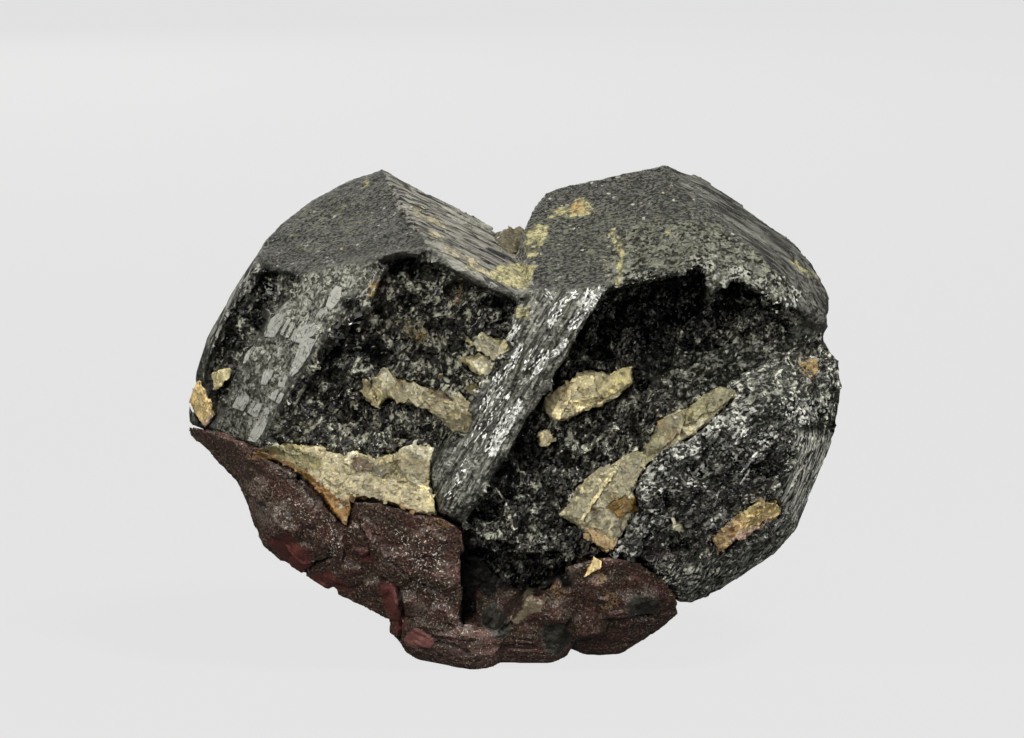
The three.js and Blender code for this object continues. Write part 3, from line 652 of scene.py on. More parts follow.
class Finish:
    """A material being made: its nodes, and the shader that they feed."""

    def __init__(self, name, **constants):
        self.material = bpy.data.materials.new(name)
        self.material.use_nodes = True
        self.tree = self.material.node_tree
        self.close(**constants)

    def feed(self, node, inputs):
        """Leads wires to the sockets of a node, or sets their values."""
        for name, value in inputs.items():
            socket = named(node.inputs, name)
            if isinstance(value, Wire):
                self.tree.links.new(value.socket, socket)
            else:
                socket.default_value = value

    def node(self, kind, settings, inputs, output):
        """Any node: its settings first, then the values or wires of its sockets."""
        made = self.tree.nodes.new("ShaderNode" + kind)
        for key, value in settings.items():
            setattr(made, key, value)
        self.feed(made, inputs)
        return Wire(self, named(made.outputs, output))

    def close(self, height=None, **inputs):
        """Leads the results into the shader; height is in millimetres."""
        if height is not None:
            bump = {"Height": height, "Strength": 1.0, "Distance": MM}
            inputs["Normal"] = self.node("Bump", {}, bump, "Normal")
        self.feed(self.tree.nodes["Principled BSDF"], {key.replace("_", " "): inputs[key] for key in inputs})
        return self.material

    def math(self, operation, first, second):
        return self.node("Math", {"operation": operation}, {"Value": first, "Value_001": second}, "Value")

    def vectors(self, operation, first, second, output="Vector"):
        inputs = {"Vector": first, "Vector_001": second}
        return self.node("VectorMath", {"operation": operation}, inputs, output)

    def place(self):
        """The place on the specimen, in millimetres."""
        return self.vectors("MULTIPLY", self.node("TexCoord", {}, {}, "Object"), (1 / MM,) * 3)

    def noise(self, place, size, detail=2.0, rough=0.5):
        inputs = {"Vector": place, "Scale": 1 / size, "Detail": detail, "Roughness": rough}
        return self.node("TexNoise", {}, inputs, "Fac")

    def streaks(self, place, direction, long, size, detail, rough):
        """Noise drawn out along a direction on the front."""
        turn = math.atan2(-direction[2], direction[0])
        inputs = {"Vector": place, "Rotation": (0, turn, 0), "Scale": (long, 1.0, 1.0)}
        drawn = self.node("Mapping", {"vector_type": "TEXTURE"}, inputs, "Vector")
        return self.noise(drawn, size, detail, rough)

    def chips(self, place, size, seed=0.0):
        """Small flat faces: the height of each face's slope, and one random number for each face."""
        place = self.vectors("ADD", place, (seed, seed, seed))
        colour = self.node("TexVoronoi", {}, {"Vector": place, "Scale": 1 / size}, "Color")
        way = self.vectors("SUBTRACT", place, colour.other("Position"))
        slope = self.vectors("SUBTRACT", colour, (0.5, 0.5, 0.5))
        number = self.node("SeparateColor", {}, {"Color": colour}, "Red")
        return self.vectors("DOT_PRODUCT", way, slope, "Value"), number

    def step(self, value, low, high):
        """A smooth rise from 0 to 1 as the value goes from low to high."""
        inputs = {"Value": value, "From Min": low, "From Max": high, "To Min": 0.0, "To Max": 1.0}
        return self.node("MapRange", {"interpolation_type": "SMOOTHSTEP"}, inputs, "Result")

    def blend(self, share, first, second):
        """A mix of two colours."""
        first, second = (c if isinstance(c, Wire) else (*c, 1.0) for c in (first, second))
        inputs = {"Factor_Float": share, "A_Color": first, "B_Color": second}
        return self.node("Mix", {"data_type": "RGBA"}, inputs, "Result_Color")

    def over(self, colour, share, by, first, second):
        """A colour with a mix of two others laid over it."""
        return self.blend(share, colour, self.blend(by, first, second))

    def painted(self, name):
        """The four shares kept on a piece under a name."""
        colour = self.node("Attribute", {"attribute_name": name}, {}, "Color")
        parts = self.node("SeparateColor", {}, {"Color": colour}, "Red")
        return parts, parts.other("Green"), parts.other("Blue"), colour.other("Alpha")


def columbite():
    """Black sub-metallic crystal: dull natural faces, bright cleavage, hackly break and pale stains."""
    f = Finish("columbite", IOR=1.55)
    place = f.place()
    # light: how light the break is, partly its own tone and partly painted light and shade
    broken, silver, light, granular = f.painted("zones")
    mossy, hole, olive, left_roof = f.painted("marks")
    banded, left_lines, right_lines, lobe = f.painted("lines")
    # crystals: where the crystal clusters' glints are painted
    yellow, cream, orange, crystals = f.painted("stains")
    streaked, maroon, lip_highlight, tanned = f.painted("more")
    small, small_number = f.chips(place, 0.27)
    mid, mid_number = f.chips(place, 0.8, 3.0)
    grain = f.noise(place, 0.21, 1.0, 0.6)
    cloud = f.noise(place, 3.0, 3.0, 0.6)
    clump = f.noise(place, 1.7, 3.0, 0.7)
    patch = f.noise(place, 1.1, 2.5, 0.65)
    ragged = f.noise(place, 0.6, 2.0, 0.7) - 0.5

    # Streaks along each surface's own direction
    band_streak = f.streaks(place, BAND, 6, 0.24, 1.0, 0.6)
    band_wide = f.streaks(place, BAND, 4, 0.7, 2.0, 0.7)
    left_streak, right_streak = (f.streaks(place, way, 9, 0.24, 1.0, 0.6) * 0.5
                                 + f.streaks(place, way, 6, 0.7, 2.0, 0.7) * 0.5
                                 for way in (LEFT_LINES, RIGHT_LINES))
    low_streak = f.streaks(place, LOW_LINES, 8, 0.24, 1.5, 0.7)
    up_hackle = f.streaks(place, BAND, 2.2, 0.75, 2.0, 0.75)
    hackle = up_hackle * (1 - lobe) + f.streaks(place, LOBE, 3.6, 0.5, 1.5, 0.75) * lobe
    brushed = (f.streaks(place, LEFT_BRUSHED, 1.2, 0.24, 1.0, 0.7) * left_roof
               + f.streaks(place, RIGHT_BRUSHED, 1.5, 0.24, 1.0, 0.7) * (1 - left_roof))

    # Dull natural faces: fine grain, darker clouds, olive specks where it is mossy, and pale specks in
    # clusters that are painted glints
    dull = f.blend(f.step(brushed, 0.40, 0.62), (0.006, 0.006, 0.005), (0.112, 0.112, 0.098))
    dull = f.blend(f.step(cloud, 0.36, 0.60) * 0.35, dull, (0.026, 0.026, 0.023))
    moss = f.step(small_number + (patch - 0.5) * 1.6 + mossy * 0.25, 1.0, 1.15) * f.step(mossy, 0.0, 0.4)
    dull = f.over(dull, moss * 0.55, grain, (0.09, 0.09, 0.05), (0.27, 0.27, 0.18))
    # Painted glints: pale specks in clusters
    speck = f.step(small_number + (clump - 0.5) * 1.3, 1.05, 1.15)
    dull = f.blend(speck * 0.8, dull, (0.42, 0.42, 0.37))

    # Striated faces: dark and light lines
    left_face = f.blend(f.step(left_streak, 0.43, 0.57), (0.009, 0.008, 0.007), (0.24, 0.235, 0.203))
    right_face = f.blend(f.step(right_streak, 0.43, 0.60), (0.010, 0.010, 0.009), (0.135, 0.133, 0.118))
    faces = f.blend(f.step(left_lines - right_lines, -0.2, 0.2), right_face, left_face)
    faces = f.blend(f.step(clump, 0.5, 0.7) * 0.35, faces, (0.06, 0.056, 0.053))
    colour = f.blend(f.step(left_lines + right_lines + ragged * 0.5, 0.35, 0.65), dull, faces)

    # The rim: olive and grey grains
    rim = f.step(small_number * 0.5 + up_hackle, 0.55, 1.05)
    rim = f.blend(rim, (0.012, 0.012, 0.008), (0.175, 0.175, 0.135))
    colour = f.blend(f.step(olive + ragged * 0.8, 0.4, 0.6), colour, rim)

    # The break: black gaps between chips that are as light as the place lets them be; the chips' lightness
    # is painted light on the black break
    level = small_number * 0.42 + mid_number * 0.26 + (hackle - 0.5) * 2.2 + (clump - 0.5) * 1.3
    chip = f.step(level + light * 0.15, 0.31, 0.90)
    black = f.blend(light, (0.19, 0.195, 0.165), f.blend(lobe, (0.72, 0.71, 0.56), (0.38, 0.38, 0.325)))
    gap = f.blend(light * light * (lobe * 0.75 + 0.30), (0.0012, 0.0012, 0.0010), (0.032, 0.032, 0.027))
    black = f.blend(chip ** (2.3 - light * (1.15 - lobe * 0.35)), gap, black)
    # Holes painted near black: painted shade deep in the pits
    hole = f.step(hole + ragged * 0.9, 0.34, 0.48)
    black = f.blend(hole * 0.92, black, (0.0004, 0.0004, 0.0004))

    # Painted highlights, pale rims along the ridges and bright flecks that stand for glints, and tan places,
    # all outside the holes of the break
    outside = 1 - hole * 0.85
    rim_highlight = f.step(abs(hackle - 0.53), 0.022, 0.006) * f.step(clump, 0.42, 0.6)
    black = f.blend(rim_highlight * (light * 0.5 + 0.3) * outside, black, (0.33, 0.33, 0.275))
    fleck_glint = f.step(small_number + (clump - 0.5) * 0.9 + (hackle - 0.5) * 0.9 + light * 0.08, 0.97, 1.05)
    black = f.blend(fleck_glint * (lobe * 0.35 + 0.42) * outside, black, (0.66, 0.66, 0.59))
    black = f.over(black, tanned * f.step(patch, 0.42, 0.6) * outside * 0.6, grain * chip,
                   (0.010, 0.008, 0.005), (0.42, 0.34, 0.21))
    colour = f.blend(broken, colour, black)
    # Streaked faces: dark and light lines, the light ones partly painted light, made bright where the lamps
    # light these faces poorly
    lines = f.blend(f.step(low_streak, 0.44, 0.58), (0.010, 0.010, 0.009), (0.74, 0.74, 0.67))
    lines = f.over(lines, lobe, f.step(low_streak, 0.45, 0.62), (0.008, 0.008, 0.007), (0.70, 0.70, 0.62))
    colour = f.blend(streaked, colour, lines)
    colour = f.blend(maroon * f.step(patch, 0.35, 0.6) * 0.7, colour, (0.045, 0.014, 0.016))

    # Cleavage bands: fine strands with painted glints, and grains with dark olive cracks between them
    strands = f.step(band_streak * 0.65 + band_wide * 0.35, 0.40, 0.62)
    strands = f.blend(strands, (0.032, 0.032, 0.026), (0.225, 0.225, 0.198))
    glint = f.step(small_number + (band_wide - 0.5) * 1.2, 0.98, 1.08)
    strands = f.blend(glint * 0.7, strands, (0.55, 0.55, 0.52))
    crack = f.math("MINIMUM", abs(ragged), abs(band_wide - 0.5))
    grains = f.step(small_number * 0.55 + mid_number * 0.25 + grain * 0.2 + (patch - 0.5) * 0.6, 0.2, 0.85)
    grains = f.blend(grains, (0.058, 0.059, 0.042), (0.56, 0.565, 0.505))
    grains = f.blend(f.step(crack, 0.006, 0.022) * 0.9 + 0.1, (0.012, 0.011, 0.005), grains)
    colour = f.over(colour, silver, granular, strands, grains)
    # Painted highlights along the lips
    colour = f.over(colour, lip_highlight * 0.6, grain, (0.03, 0.03, 0.026), (0.36, 0.36, 0.32))

    # Clusters of crystals, their glints painted in as bright specks
    lit = f.step(small_number * 0.7 + hackle * 0.8 + crystals * 0.30, 1.02, 1.12)
    lit = lit * f.step(crystals, 0.0, 0.4) * (1 - olive * 0.7)
    colour = f.over(colour, lit, grain * 0.5 + mid_number * 0.5, (0.05, 0.05, 0.045), (0.90, 0.90, 0.84))

    # Stains and crusts, drawn out along the lines of the left striated face
    along_left = f.streaks(place, LEFT_LINES, 5, 0.4, 2.0, 0.7) - 0.5
    blotch = (ragged + (patch - 0.5) * 0.8) * (1 - left_lines) + along_left * left_lines * 1.6
    yellow = f.step(yellow * 1.3 + blotch * 1.8, 0.36, 1.35)
    cream = f.step(cream + blotch * 2.4, 0.62, 0.85)
    orange = f.step(orange + blotch * 2.0, 0.55, 0.85)
    crust = f.step(grain * 0.5 + ragged + patch * 0.5, 0.32, 0.68)
    colour = f.over(colour, f.step(yellow, 0.05, 0.6) * 0.92, crust * yellow,
                    (0.11, 0.103, 0.055), (0.47, 0.43, 0.225))
    colour = f.over(colour, cream * 0.9, crust, (0.12, 0.105, 0.07), (0.44, 0.39, 0.27))
    colour = f.over(colour, orange * 0.8, crust, (0.15, 0.10, 0.040), (0.42, 0.29, 0.12))
    stained = f.step(yellow + cream + orange, 0.2, 0.8)

    rough = (0.55 - broken * 0.2 + (small_number - 0.5) * 0.35 * (broken + olive) + stained * 0.3
             - crystals * 0.2)
    metallic = broken * (1.0 - light * 1.3) + silver * 0.6 - crystals * 0.3 - stained - streaked
    metallic = f.step(metallic, 0.0, 1.0)
    height = (small * (broken + silver * 0.5 + olive * 0.6 + 0.20)
              + mid * (broken * 0.6 + silver * 0.2 + 0.05) + hackle * broken * 0.40
              + grain * (0.05 + broken * 0.03 + stained * 0.08) + brushed * 0.10
              + (left_streak * left_lines + right_streak * right_lines) * 0.25 + cloud * 0.2 + patch * 0.10
              + band_streak * (banded + streaked) * 0.06 + f.step(crack, 0.0, 0.05) * granular * 0.04)
    return f.close(height, Base_Color=colour, Roughness=rough, Metallic=metallic)


def garnet():
    """Dark red-brown garnet with fine sparkles, clear red on its few smooth faces."""
    f = Finish("garnet", IOR=1.6)
    place = f.place()
    red, pink, grey, sparkle = f.painted("zones")
    cream, rust, glass, crack = f.painted("stains")
    layered = f.painted("more")[0]
    small, small_number = f.chips(place, 0.25)
    grain = f.noise(place, 0.21, 1.0, 0.6)
    cloud = f.noise(place, 2.4, 3.0, 0.6)
    clump = f.noise(place, 1.3, 3.0, 0.7)
    ragged = f.noise(place, 0.7, 3.0, 0.8) - 0.5
    layer = f.streaks(place, LAYERS, 9, 0.3, 2.0, 0.7)

    # Red-brown with light and dark grains, layered low down
    colour = f.blend(f.step(cloud, 0.38, 0.62), (0.052, 0.032, 0.021), (0.098, 0.036, 0.030))
    for share, tone in ((f.step(clump, 0.44, 0.64) * 0.5, (0.022, 0.014, 0.010)),
                        (f.step(grain, 0.50, 0.68) * 0.7, (0.165, 0.105, 0.078)),
                        (f.step(grain, 0.52, 0.38) * 0.65, (0.010, 0.007, 0.005)),
                        (layered * f.step(layer, 0.42, 0.60) * 0.7, (0.090, 0.040, 0.032)),
                        (layered * f.step(layer, 0.46, 0.36) * 0.6, (0.012, 0.007, 0.005))):
        colour = f.blend(share, colour, tone)

    # Sparkles: painted glints
    spark = f.noise(place, 0.2, 1.0, 0.6)
    lit = f.step(spark + (clump - 0.5) * 0.25, 0.62, 0.68)
    colour = f.blend(lit * 0.8, colour, (0.42, 0.35, 0.28))
    bright = f.step(spark + (clump - 0.5) * 0.3 + sparkle * 0.09, 0.70, 0.74) * f.step(sparkle, 0.1, 0.8)
    colour = f.blend(bright, colour, (0.70, 0.66, 0.58))

    # Clear red, pink and grey faces; the grey on the left edge is partly a painted sheen
    red = f.step(red + ragged * 0.8, 0.2, 1.0)
    colour = f.over(colour, red * 0.75, cloud, (0.095, 0.024, 0.021), (0.20, 0.045, 0.040))
    pink = f.step(pink + ragged * 0.25, 0.45, 0.6)
    colour = f.over(colour, pink, grain, (0.24, 0.088, 0.078), (0.37, 0.16, 0.145))
    grey = f.step(grey + ragged * 0.4, 0.2, 1.0) * f.step(grain + (clump - 0.5) * 0.6, 0.36, 0.66)
    colour = f.over(colour, grey * 0.8, grain, (0.13, 0.10, 0.082), (0.38, 0.32, 0.27))

    # Dark glassy places with a pale rim, then cream, rust and dark cracks
    glass = glass + ragged * 1.1
    rim = f.step(abs(glass - 0.45), 0.10, 0.03)
    glass = f.step(glass, 0.45, 0.6)
    mottled = f.step(clump * 0.6 + grain * 0.4, 0.38, 0.62)
    colour = f.over(colour, glass * 0.85, mottled, (0.005, 0.006, 0.005), (0.085, 0.090, 0.072))
    colour = f.blend(rim * 0.5, colour, (0.17, 0.155, 0.13))
    cream = f.step(cream + ragged * 1.6, 0.5, 0.8)
    colour = f.over(colour, cream * 0.85, grain, (0.13, 0.095, 0.055), (0.48, 0.40, 0.27))
    rust = f.step(rust * 0.9 + ragged * 1.6, 0.5, 0.85) * f.step(grain + (clump - 0.5) * 0.5, 0.38, 0.58)
    colour = f.over(colour, rust * 0.7, grain, (0.13, 0.07, 0.03), (0.42, 0.27, 0.13))
    colour = f.blend(crack, colour, (0.003, 0.002, 0.002))

    smooth = f.step(red * 0.6 + pink + grey + glass, 0.0, 1.0)
    rough = (0.50 + (small_number - 0.5) * 0.35 * (1 - smooth) + cream * 0.2 + rust * 0.2 + layered * 0.2
             - grey * 0.1)
    height = ((small * 0.40 + grain * 0.06) * (1 - smooth * 0.8) + clump * 0.12 + cloud * 0.15
              + layer * layered * 0.12)
    return f.close(height, Base_Color=colour, Roughness=rough)


def mica(name, clearness):
    """Flakes of thin leaves: the tint of each leaf, mottled, and see-through where it is clear."""
    f = Finish(name, IOR=1.5, Transmission_Weight=clearness)
    place = f.place()
    tint = f.node("Attribute", {"attribute_name": "leaf"}, {}, "Color")
    small, small_number = f.chips(place, 0.26)
    mid, mid_number = f.chips(place, 0.8, 3.0)
    grain = f.noise(place, 0.22, 1.0, 0.6)
    cloud = f.noise(place, 0.9, 2.5, 0.7)
    deep = f.vectors("MULTIPLY", tint, (0.34, 0.31, 0.25))
    lit = f.vectors("MULTIPLY", tint, (2.0, 1.95, 1.75))
    colour = f.blend(f.step(cloud, 0.46, 0.60) * 0.45, tint, deep)
    colour = f.blend(f.step(grain, 0.54, 0.68) * 0.5, colour, deep)
    glint = f.step(small_number * 0.7 + mid_number * 0.3 + (cloud - 0.5) * 0.8, 0.55, 0.95)
    colour = f.blend(glint * 0.8, colour, lit)
    height = small * 0.40 + mid * 0.30 + grain * 0.06 + cloud * 0.15
    return f.close(height, Base_Color=colour, Roughness=0.30 + small_number * 0.35)


def cleavage():
    """Smooth pale cleavage, parted by cracks."""
    f = Finish("cleavage", IOR=1.6)
    place = f.place()
    grain = f.noise(place, 0.25, 1.0, 0.6)
    crack = abs(f.streaks(place, BAND, 2.5, 0.9, 2.0, 0.7) - 0.5)
    small, number = f.chips(place, 0.4)
    colour = f.blend(number, (0.26, 0.265, 0.24), (0.38, 0.385, 0.355))
    colour = f.blend(f.step(grain, 0.64, 0.72) * 0.7, colour, (0.08, 0.075, 0.05))
    colour = f.blend(f.step(crack, 0.018, 0.006) * 0.85, colour, (0.025, 0.022, 0.012))
    height = small * 0.10 + grain * 0.03
    return f.close(height, Base_Color=colour, Roughness=0.35 + number * 0.2, Metallic=0.35)


def flash():
    """Bright broken steps of the cleavage: painted glints, bright whichever way the light falls."""
    f = Finish("flash", IOR=1.6)
    small, number = f.chips(f.place(), 0.25)
    colour = f.blend(number, (0.14, 0.14, 0.13), (0.88, 0.88, 0.86))
    return f.close(small * 0.3, Base_Color=colour, Roughness=0.35 + number * 0.2, Metallic=0.5)


# The crystal

def carve_twin(piece):
    """Gives each surface of the crystal its relief, marks it, and says how far splinters may grow there."""
    points, normals = points_of(piece), normals_of(piece)
    front = np.clip((CREST_DEPTH + 1 - points[:, 1]) / 2, 0, 1)
    deep = np.clip((FACET_DEPTH - points[:, 1]) / 5 + waves(points, 1.2, 14) * 0.3, 0, 1)
    wobble = swells(points, 1.3, 11) * 2.5
    spots = seen(points) + wobble
    zone = {name: within(spots, outline) * (deep if name in STRIATED else front)
            for name, outline in SURFACES.items()}
    streaked = np.maximum.reduce([zone["low_facet"], zone["under_right"] * 0.8, zone["left_edge"] * 0.55])
    zone["streaked"] = streaked
    behind = np.clip((points[:, 1] - 5) / 2, 0, 1) * np.clip(waves(points, 9, 13) * 3, 0, 1)
    broken = np.maximum.reduce([behind, zone["sparkle"], *(zone[name] for name in HOLLOWS)])
    silver = np.maximum(zone["left_band"], zone["middle_band"])
    hackly = facets(points, 2.4, 21, 1.1, 1.0) + facets(drawn_along(points, BAND, 2), 0.9, 23, 0.6, 0.9)
    hackly += facets(points, 0.45, 25, 0.15, 0.8)
    turned = np.clip((normals @ TOWARDS_VIEWER) * 2.2, 0.15, 1)
    hackly *= np.where(front > 0.5, turned, 0.4)
    relief = (broken - zone["sparkle"] * 0.6) * (1 - streaked * 0.8) * hackly
    relief += np.clip((points[:, 1] - 4) / 4, 0, 1) * facets(points, 3, 26, 0.12, 0.12)
    relief += zone["sparkle"] * facets(drawn_along(points, LOBE, 3), 0.6, 33, 0.3, 0.8) * turned
    for name, direction, stretch, size, seed, jump, tilt in GROOVES:
        relief += zone[name] * facets(drawn_along(points, direction, stretch), size, seed, jump, tilt)
    roof = np.maximum(zone["left_roof"], zone["right_roof"])
    relief += roof * (waves(points, 2.5, 43) * 0.10 + facets(points, 0.7, 45, 0.05, 0.12))
    relief += waves(points, 0.8, 41) * 0.03
    holes = pitted(spots, PITS) * broken * front
    hole = np.clip(holes / 1.2, 0, 1)
    move_points(piece, points + normals * relief[:, None] - TOWARDS_VIEWER * holes[:, None])

    granular = zone["left_band"] * (1 - within(spots, LEFT_BEVEL))
    yellow = np.maximum(within(spots, YELLOW_STAINS[0]), any_within(spots, YELLOW_STAINS) * OTHER_YELLOW)
    paint(piece, "zones", [broken, silver, break_tone_light_and_shade(spots), granular])
    paint(piece, "marks", [spotted(spots, MOSS) * front, hole, zone["olive"], zone["left_roof"]])
    paint(piece, "lines", [silver, zone["left_facet"], zone["right_facet"],
                           np.maximum(zone["sparkle"], zone["low_right"])])
    paint(piece, "stains", front * [yellow, any_within(spots, CREAM_STAINS), spotted(spots, ORANGE_STAINS),
                                    spotted(spots + wobble, CRYSTAL_GLINTS)])
    paint(piece, "more", [streaked, spotted(spots, MAROON) * front, struck(spots, LIP_HIGHLIGHTS) * front,
                          spotted(spots, TANNED) * front])
    inner = np.maximum.reduce([within(spots, SURFACES[name], 10) for name in HOLLOWS])
    return np.clip(inner * 2 - 1, 0, 1) * front * (1 - hole) * (1 - streaked) * np.clip(turned * 2 - 1, 0, 1)


def splinters(parent, share, name, count, seed):
    """Small chisel-shaped splinters rooted in the broken surface of a piece, as one mesh."""
    rng = np.random.default_rng(seed)
    mesh = parent.data
    first = read(mesh.polygons, "loop_start", 1, int)
    weight = read(mesh.polygons, "area", 1) * share[read(mesh.loops, "vertex_index", 1, int)[first]]
    chosen = rng.choice(len(first), count, p=weight / weight.sum())
    root = read(mesh.polygons, "center")[chosen] / MM
    out = unit(read(mesh.polygons, "normal")[chosen] + rng.normal(0, 0.35, (count, 3)))
    low = within(seen(root), SURFACES["low_right"])[:, None]
    lean = np.array(BAND) * (1 - low) + np.array(LOBE) * low + rng.normal(0, 0.35, (count, 3))
    long = unit(lean - out * (lean * out).sum(1)[:, None])
    wide = np.cross(out, long)
    length = rng.gamma(2.5, 0.09, count) + 0.12
    width = length * rng.uniform(0.25, 0.6, count)
    height = rng.gamma(3.0, 0.04, count) + 0.03
    chisel = np.array([(-0.5, -0.5, -0.4), (0.5, -0.5, -0.4), (0.5, 0.5, -0.4), (-0.5, 0.5, -0.4),
                       (-0.35, 0.1, 1.0), (0.3, -0.1, 0.8)])
    shape = (chisel + rng.normal(0, 0.12, (count, 6, 3))) * np.stack([length, width, height], 1)[:, None]
    corners = root[:, None] + shape @ np.stack([long, wide, out], 1)
    sides = [(3, 2, 1, 0), (0, 1, 5, 4), (1, 2, 5), (2, 3, 4, 5), (3, 0, 4)]
    piece = modelled(name, corners.reshape(-1, 3),
                     [tuple(i * 6 + c for c in side) for i in range(count) for side in sides])
    # How light each splinter is: the break's tone with its painted light and shade, varied at random
    tone = np.repeat(break_tone_light_and_shade(seen(root)) * rng.uniform(0.2, 1.5, count), 6)
    nothing = np.zeros(count * 6)
    paint(piece, "zones", [nothing + 1, nothing, tone])
    paint(piece, "stains", [nothing, nothing, nothing, np.repeat(spotted(seen(root), CRYSTAL_GLINTS), 6)])
    for shares in ("marks", "lines", "more"):
        paint(piece, shares, [nothing])
    belong(piece, "columbite", bpy.data.materials["columbite"])


def make_plates(trees):
    """Smooth cleavage plates lying on the left band, parted by cracks."""
    rng = np.random.default_rng(63)
    flats = [flat_through(trees, outline, 0.02, rng) for outline in PLATES]
    common = np.mean([facing for middle, facing in flats], axis=0)
    shapes = []
    for outline, (middle, facing) in zip(PLATES, flats):
        facing = unit(facing * 0.25 + common)
        starts = sight_of(frayed(outline, 8, 0.25, rng))
        shapes.append((starts, middle + facing * 0.24, facing, PLATE_THICK, 0.03))
    dress(thin_slabs("cleavage_plates", shapes), "columbite", cleavage(), 30)


def make_flashes(trees):
    """Bright steps of the cleavage: short thin slivers, painted bright as glints, along the strokes where
    the band flashes.
    """
    rng = np.random.default_rng(65)
    shapes = []
    for start, end, half, share in FLASHES:
        side = np.array(end, float) - start
        long = np.linalg.norm(side)
        side = side / long
        across = np.array([-side[1], side[0]])
        for i in range(int(long * half * share)):
            middle = start + side * rng.uniform(0, long) + across * rng.uniform(-half, half)
            length, width = rng.gamma(2.0, 0.8) + 0.9, rng.gamma(3.0, 0.14) + 0.25
            turned = side + across * rng.normal(0, 0.2)
            thin = np.array([-turned[1], turned[0]])
            corners = np.array([(-1, 0), (-0.6, -0.9), (0.5, -0.7), (1, 0.1), (0.4, 0.9), (-0.7, 0.6)])
            corners += rng.normal(0, 0.22, corners.shape)
            outline = middle + corners[:, :1] * turned * length + corners[:, 1:] * thin * width
            places, facing = met(trees, sight_of([middle]))
            if len(places):
                tilted = unit(facing[0] + TOWARDS_VIEWER * 0.7 + FLASH_WAY * 0.5 + rng.normal(0, 0.25, 3))
                lifted = places[0] + TOWARDS_VIEWER * 0.12
                shapes.append((sight_of(outline), lifted, tilted, PLATE_THICK, 0.02))
    dress(thin_slabs("cleavage_flashes", shapes), "columbite", flash(), 20)


def make_twin():
    """The grown-together crystals, with the splinters, plates and bright steps of their surfaces."""
    piece = skin_of("columbite_twin", "twin_crystal", TWIN_SKIN)
    back = np.clip((points_of(piece)[:, 1] - CREST_DEPTH) / 2, 0, 1)
    thin_out(piece, np.round(back * 2) / 2, TWIN_KEPT)
    rough = carve_twin(piece)
    dress(piece, "columbite", columbite(), 40, "columbite_twin")
    splinters(piece, rough, "hackle", SPLINTERS, 61)
    trees = trees_of([piece])
    make_plates(trees)
    make_flashes(trees)
    return piece


# The garnet, with its surfaces as outlines, ovals and strokes on the photograph

GARNET_RED = [
    [(268, 540), (290, 534), (308, 546), (314, 566), (302, 574), (284, 562)],
    [(380, 580), (397, 583), (401, 600), (398, 618), (386, 612), (380, 598)],
    [(388, 612), (404, 616), (408, 628), (400, 638), (393, 626)],
    [(304, 578), (330, 568), (352, 588), (335, 592), (315, 588)],
    [(360, 548), (378, 552), (376, 562), (362, 560)],
    [(622, 570), (645, 573), (668, 590), (672, 604), (655, 590), (635, 582)],
    [(590, 628), (618, 622), (648, 628), (620, 646), (598, 648)]]
GARNET_PINK = [
    [(403, 641), (410, 630), (416, 627), (436, 641), (430, 646), (418, 649)]]
GARNET_GREY = [
    [(238, 470), (262, 486), (278, 502), (274, 525), (266, 528), (256, 515), (248, 492)],
    [(404, 606), (424, 600), (432, 610), (424, 620), (408, 618)]]
GARNET_SPARKLE = [
    [(284, 496), (300, 500), (316, 514), (308, 520), (292, 510)],
    [(305, 515), (330, 520), (348, 535), (346, 560), (330, 556), (312, 540)],
    [(385, 525), (440, 530), (452, 575), (440, 600), (400, 560)],
    [(420, 580), (455, 590), (458, 620), (430, 610)]]
GARNET_CREAM = [
    [(525, 571), (538, 574), (535, 590), (533, 598), (543, 600), (543, 609), (529, 613), (519, 622),
    (512, 620), (522, 604), (524, 590)]]
GARNET_GLASS = [
    [(623, 604), (631, 596), (648, 595), (659, 600), (662, 608), (652, 613), (636, 617), (627, 612)],
    [(541, 630), (550, 621), (562, 622), (571, 632), (567, 646), (556, 655), (546, 650)],
    [(484, 608), (496, 606), (506, 614), (510, 628), (502, 638), (490, 636), (482, 624)]]
GARNET_LAYERS = [
    [(402, 644), (430, 632), (470, 630), (520, 634), (560, 644), (548, 662), (480, 670), (420, 662)]]
GARNET_RUST = [
    ((441, 522), 17, 8), ((610, 600), 10, 12), ((258, 456), 14, 4), ((600, 575), 10, 8),
    ((560, 590), 14, 10)]
GARNET_CRACKS = [
    ((303, 574), (318, 562), 1.2), ((318, 562), (334, 558), 1.0), ((398, 586), (403, 612), 1.5),
    ((403, 612), (400, 640), 1.0), ((463, 560), (463, 622), 2.0), ((632, 618), (650, 619), 2.5),
    ((360, 520), (372, 560), 0.6), ((500, 632), (512, 622), 1.2), ((436, 641), (470, 652), 0.8),
    ((280, 470), (330, 508), 0.5), ((385, 560), (450, 600), 0.5), ((468, 556), (468, 612), 7.0),
    ((480, 562), (502, 582), 11.0), ((500, 575), (522, 584), 8.0), ((478, 582), (490, 592), 6.0),
    ((558, 566), (567, 586), 6.0), ((467, 590), (468, 615), 6.0)]


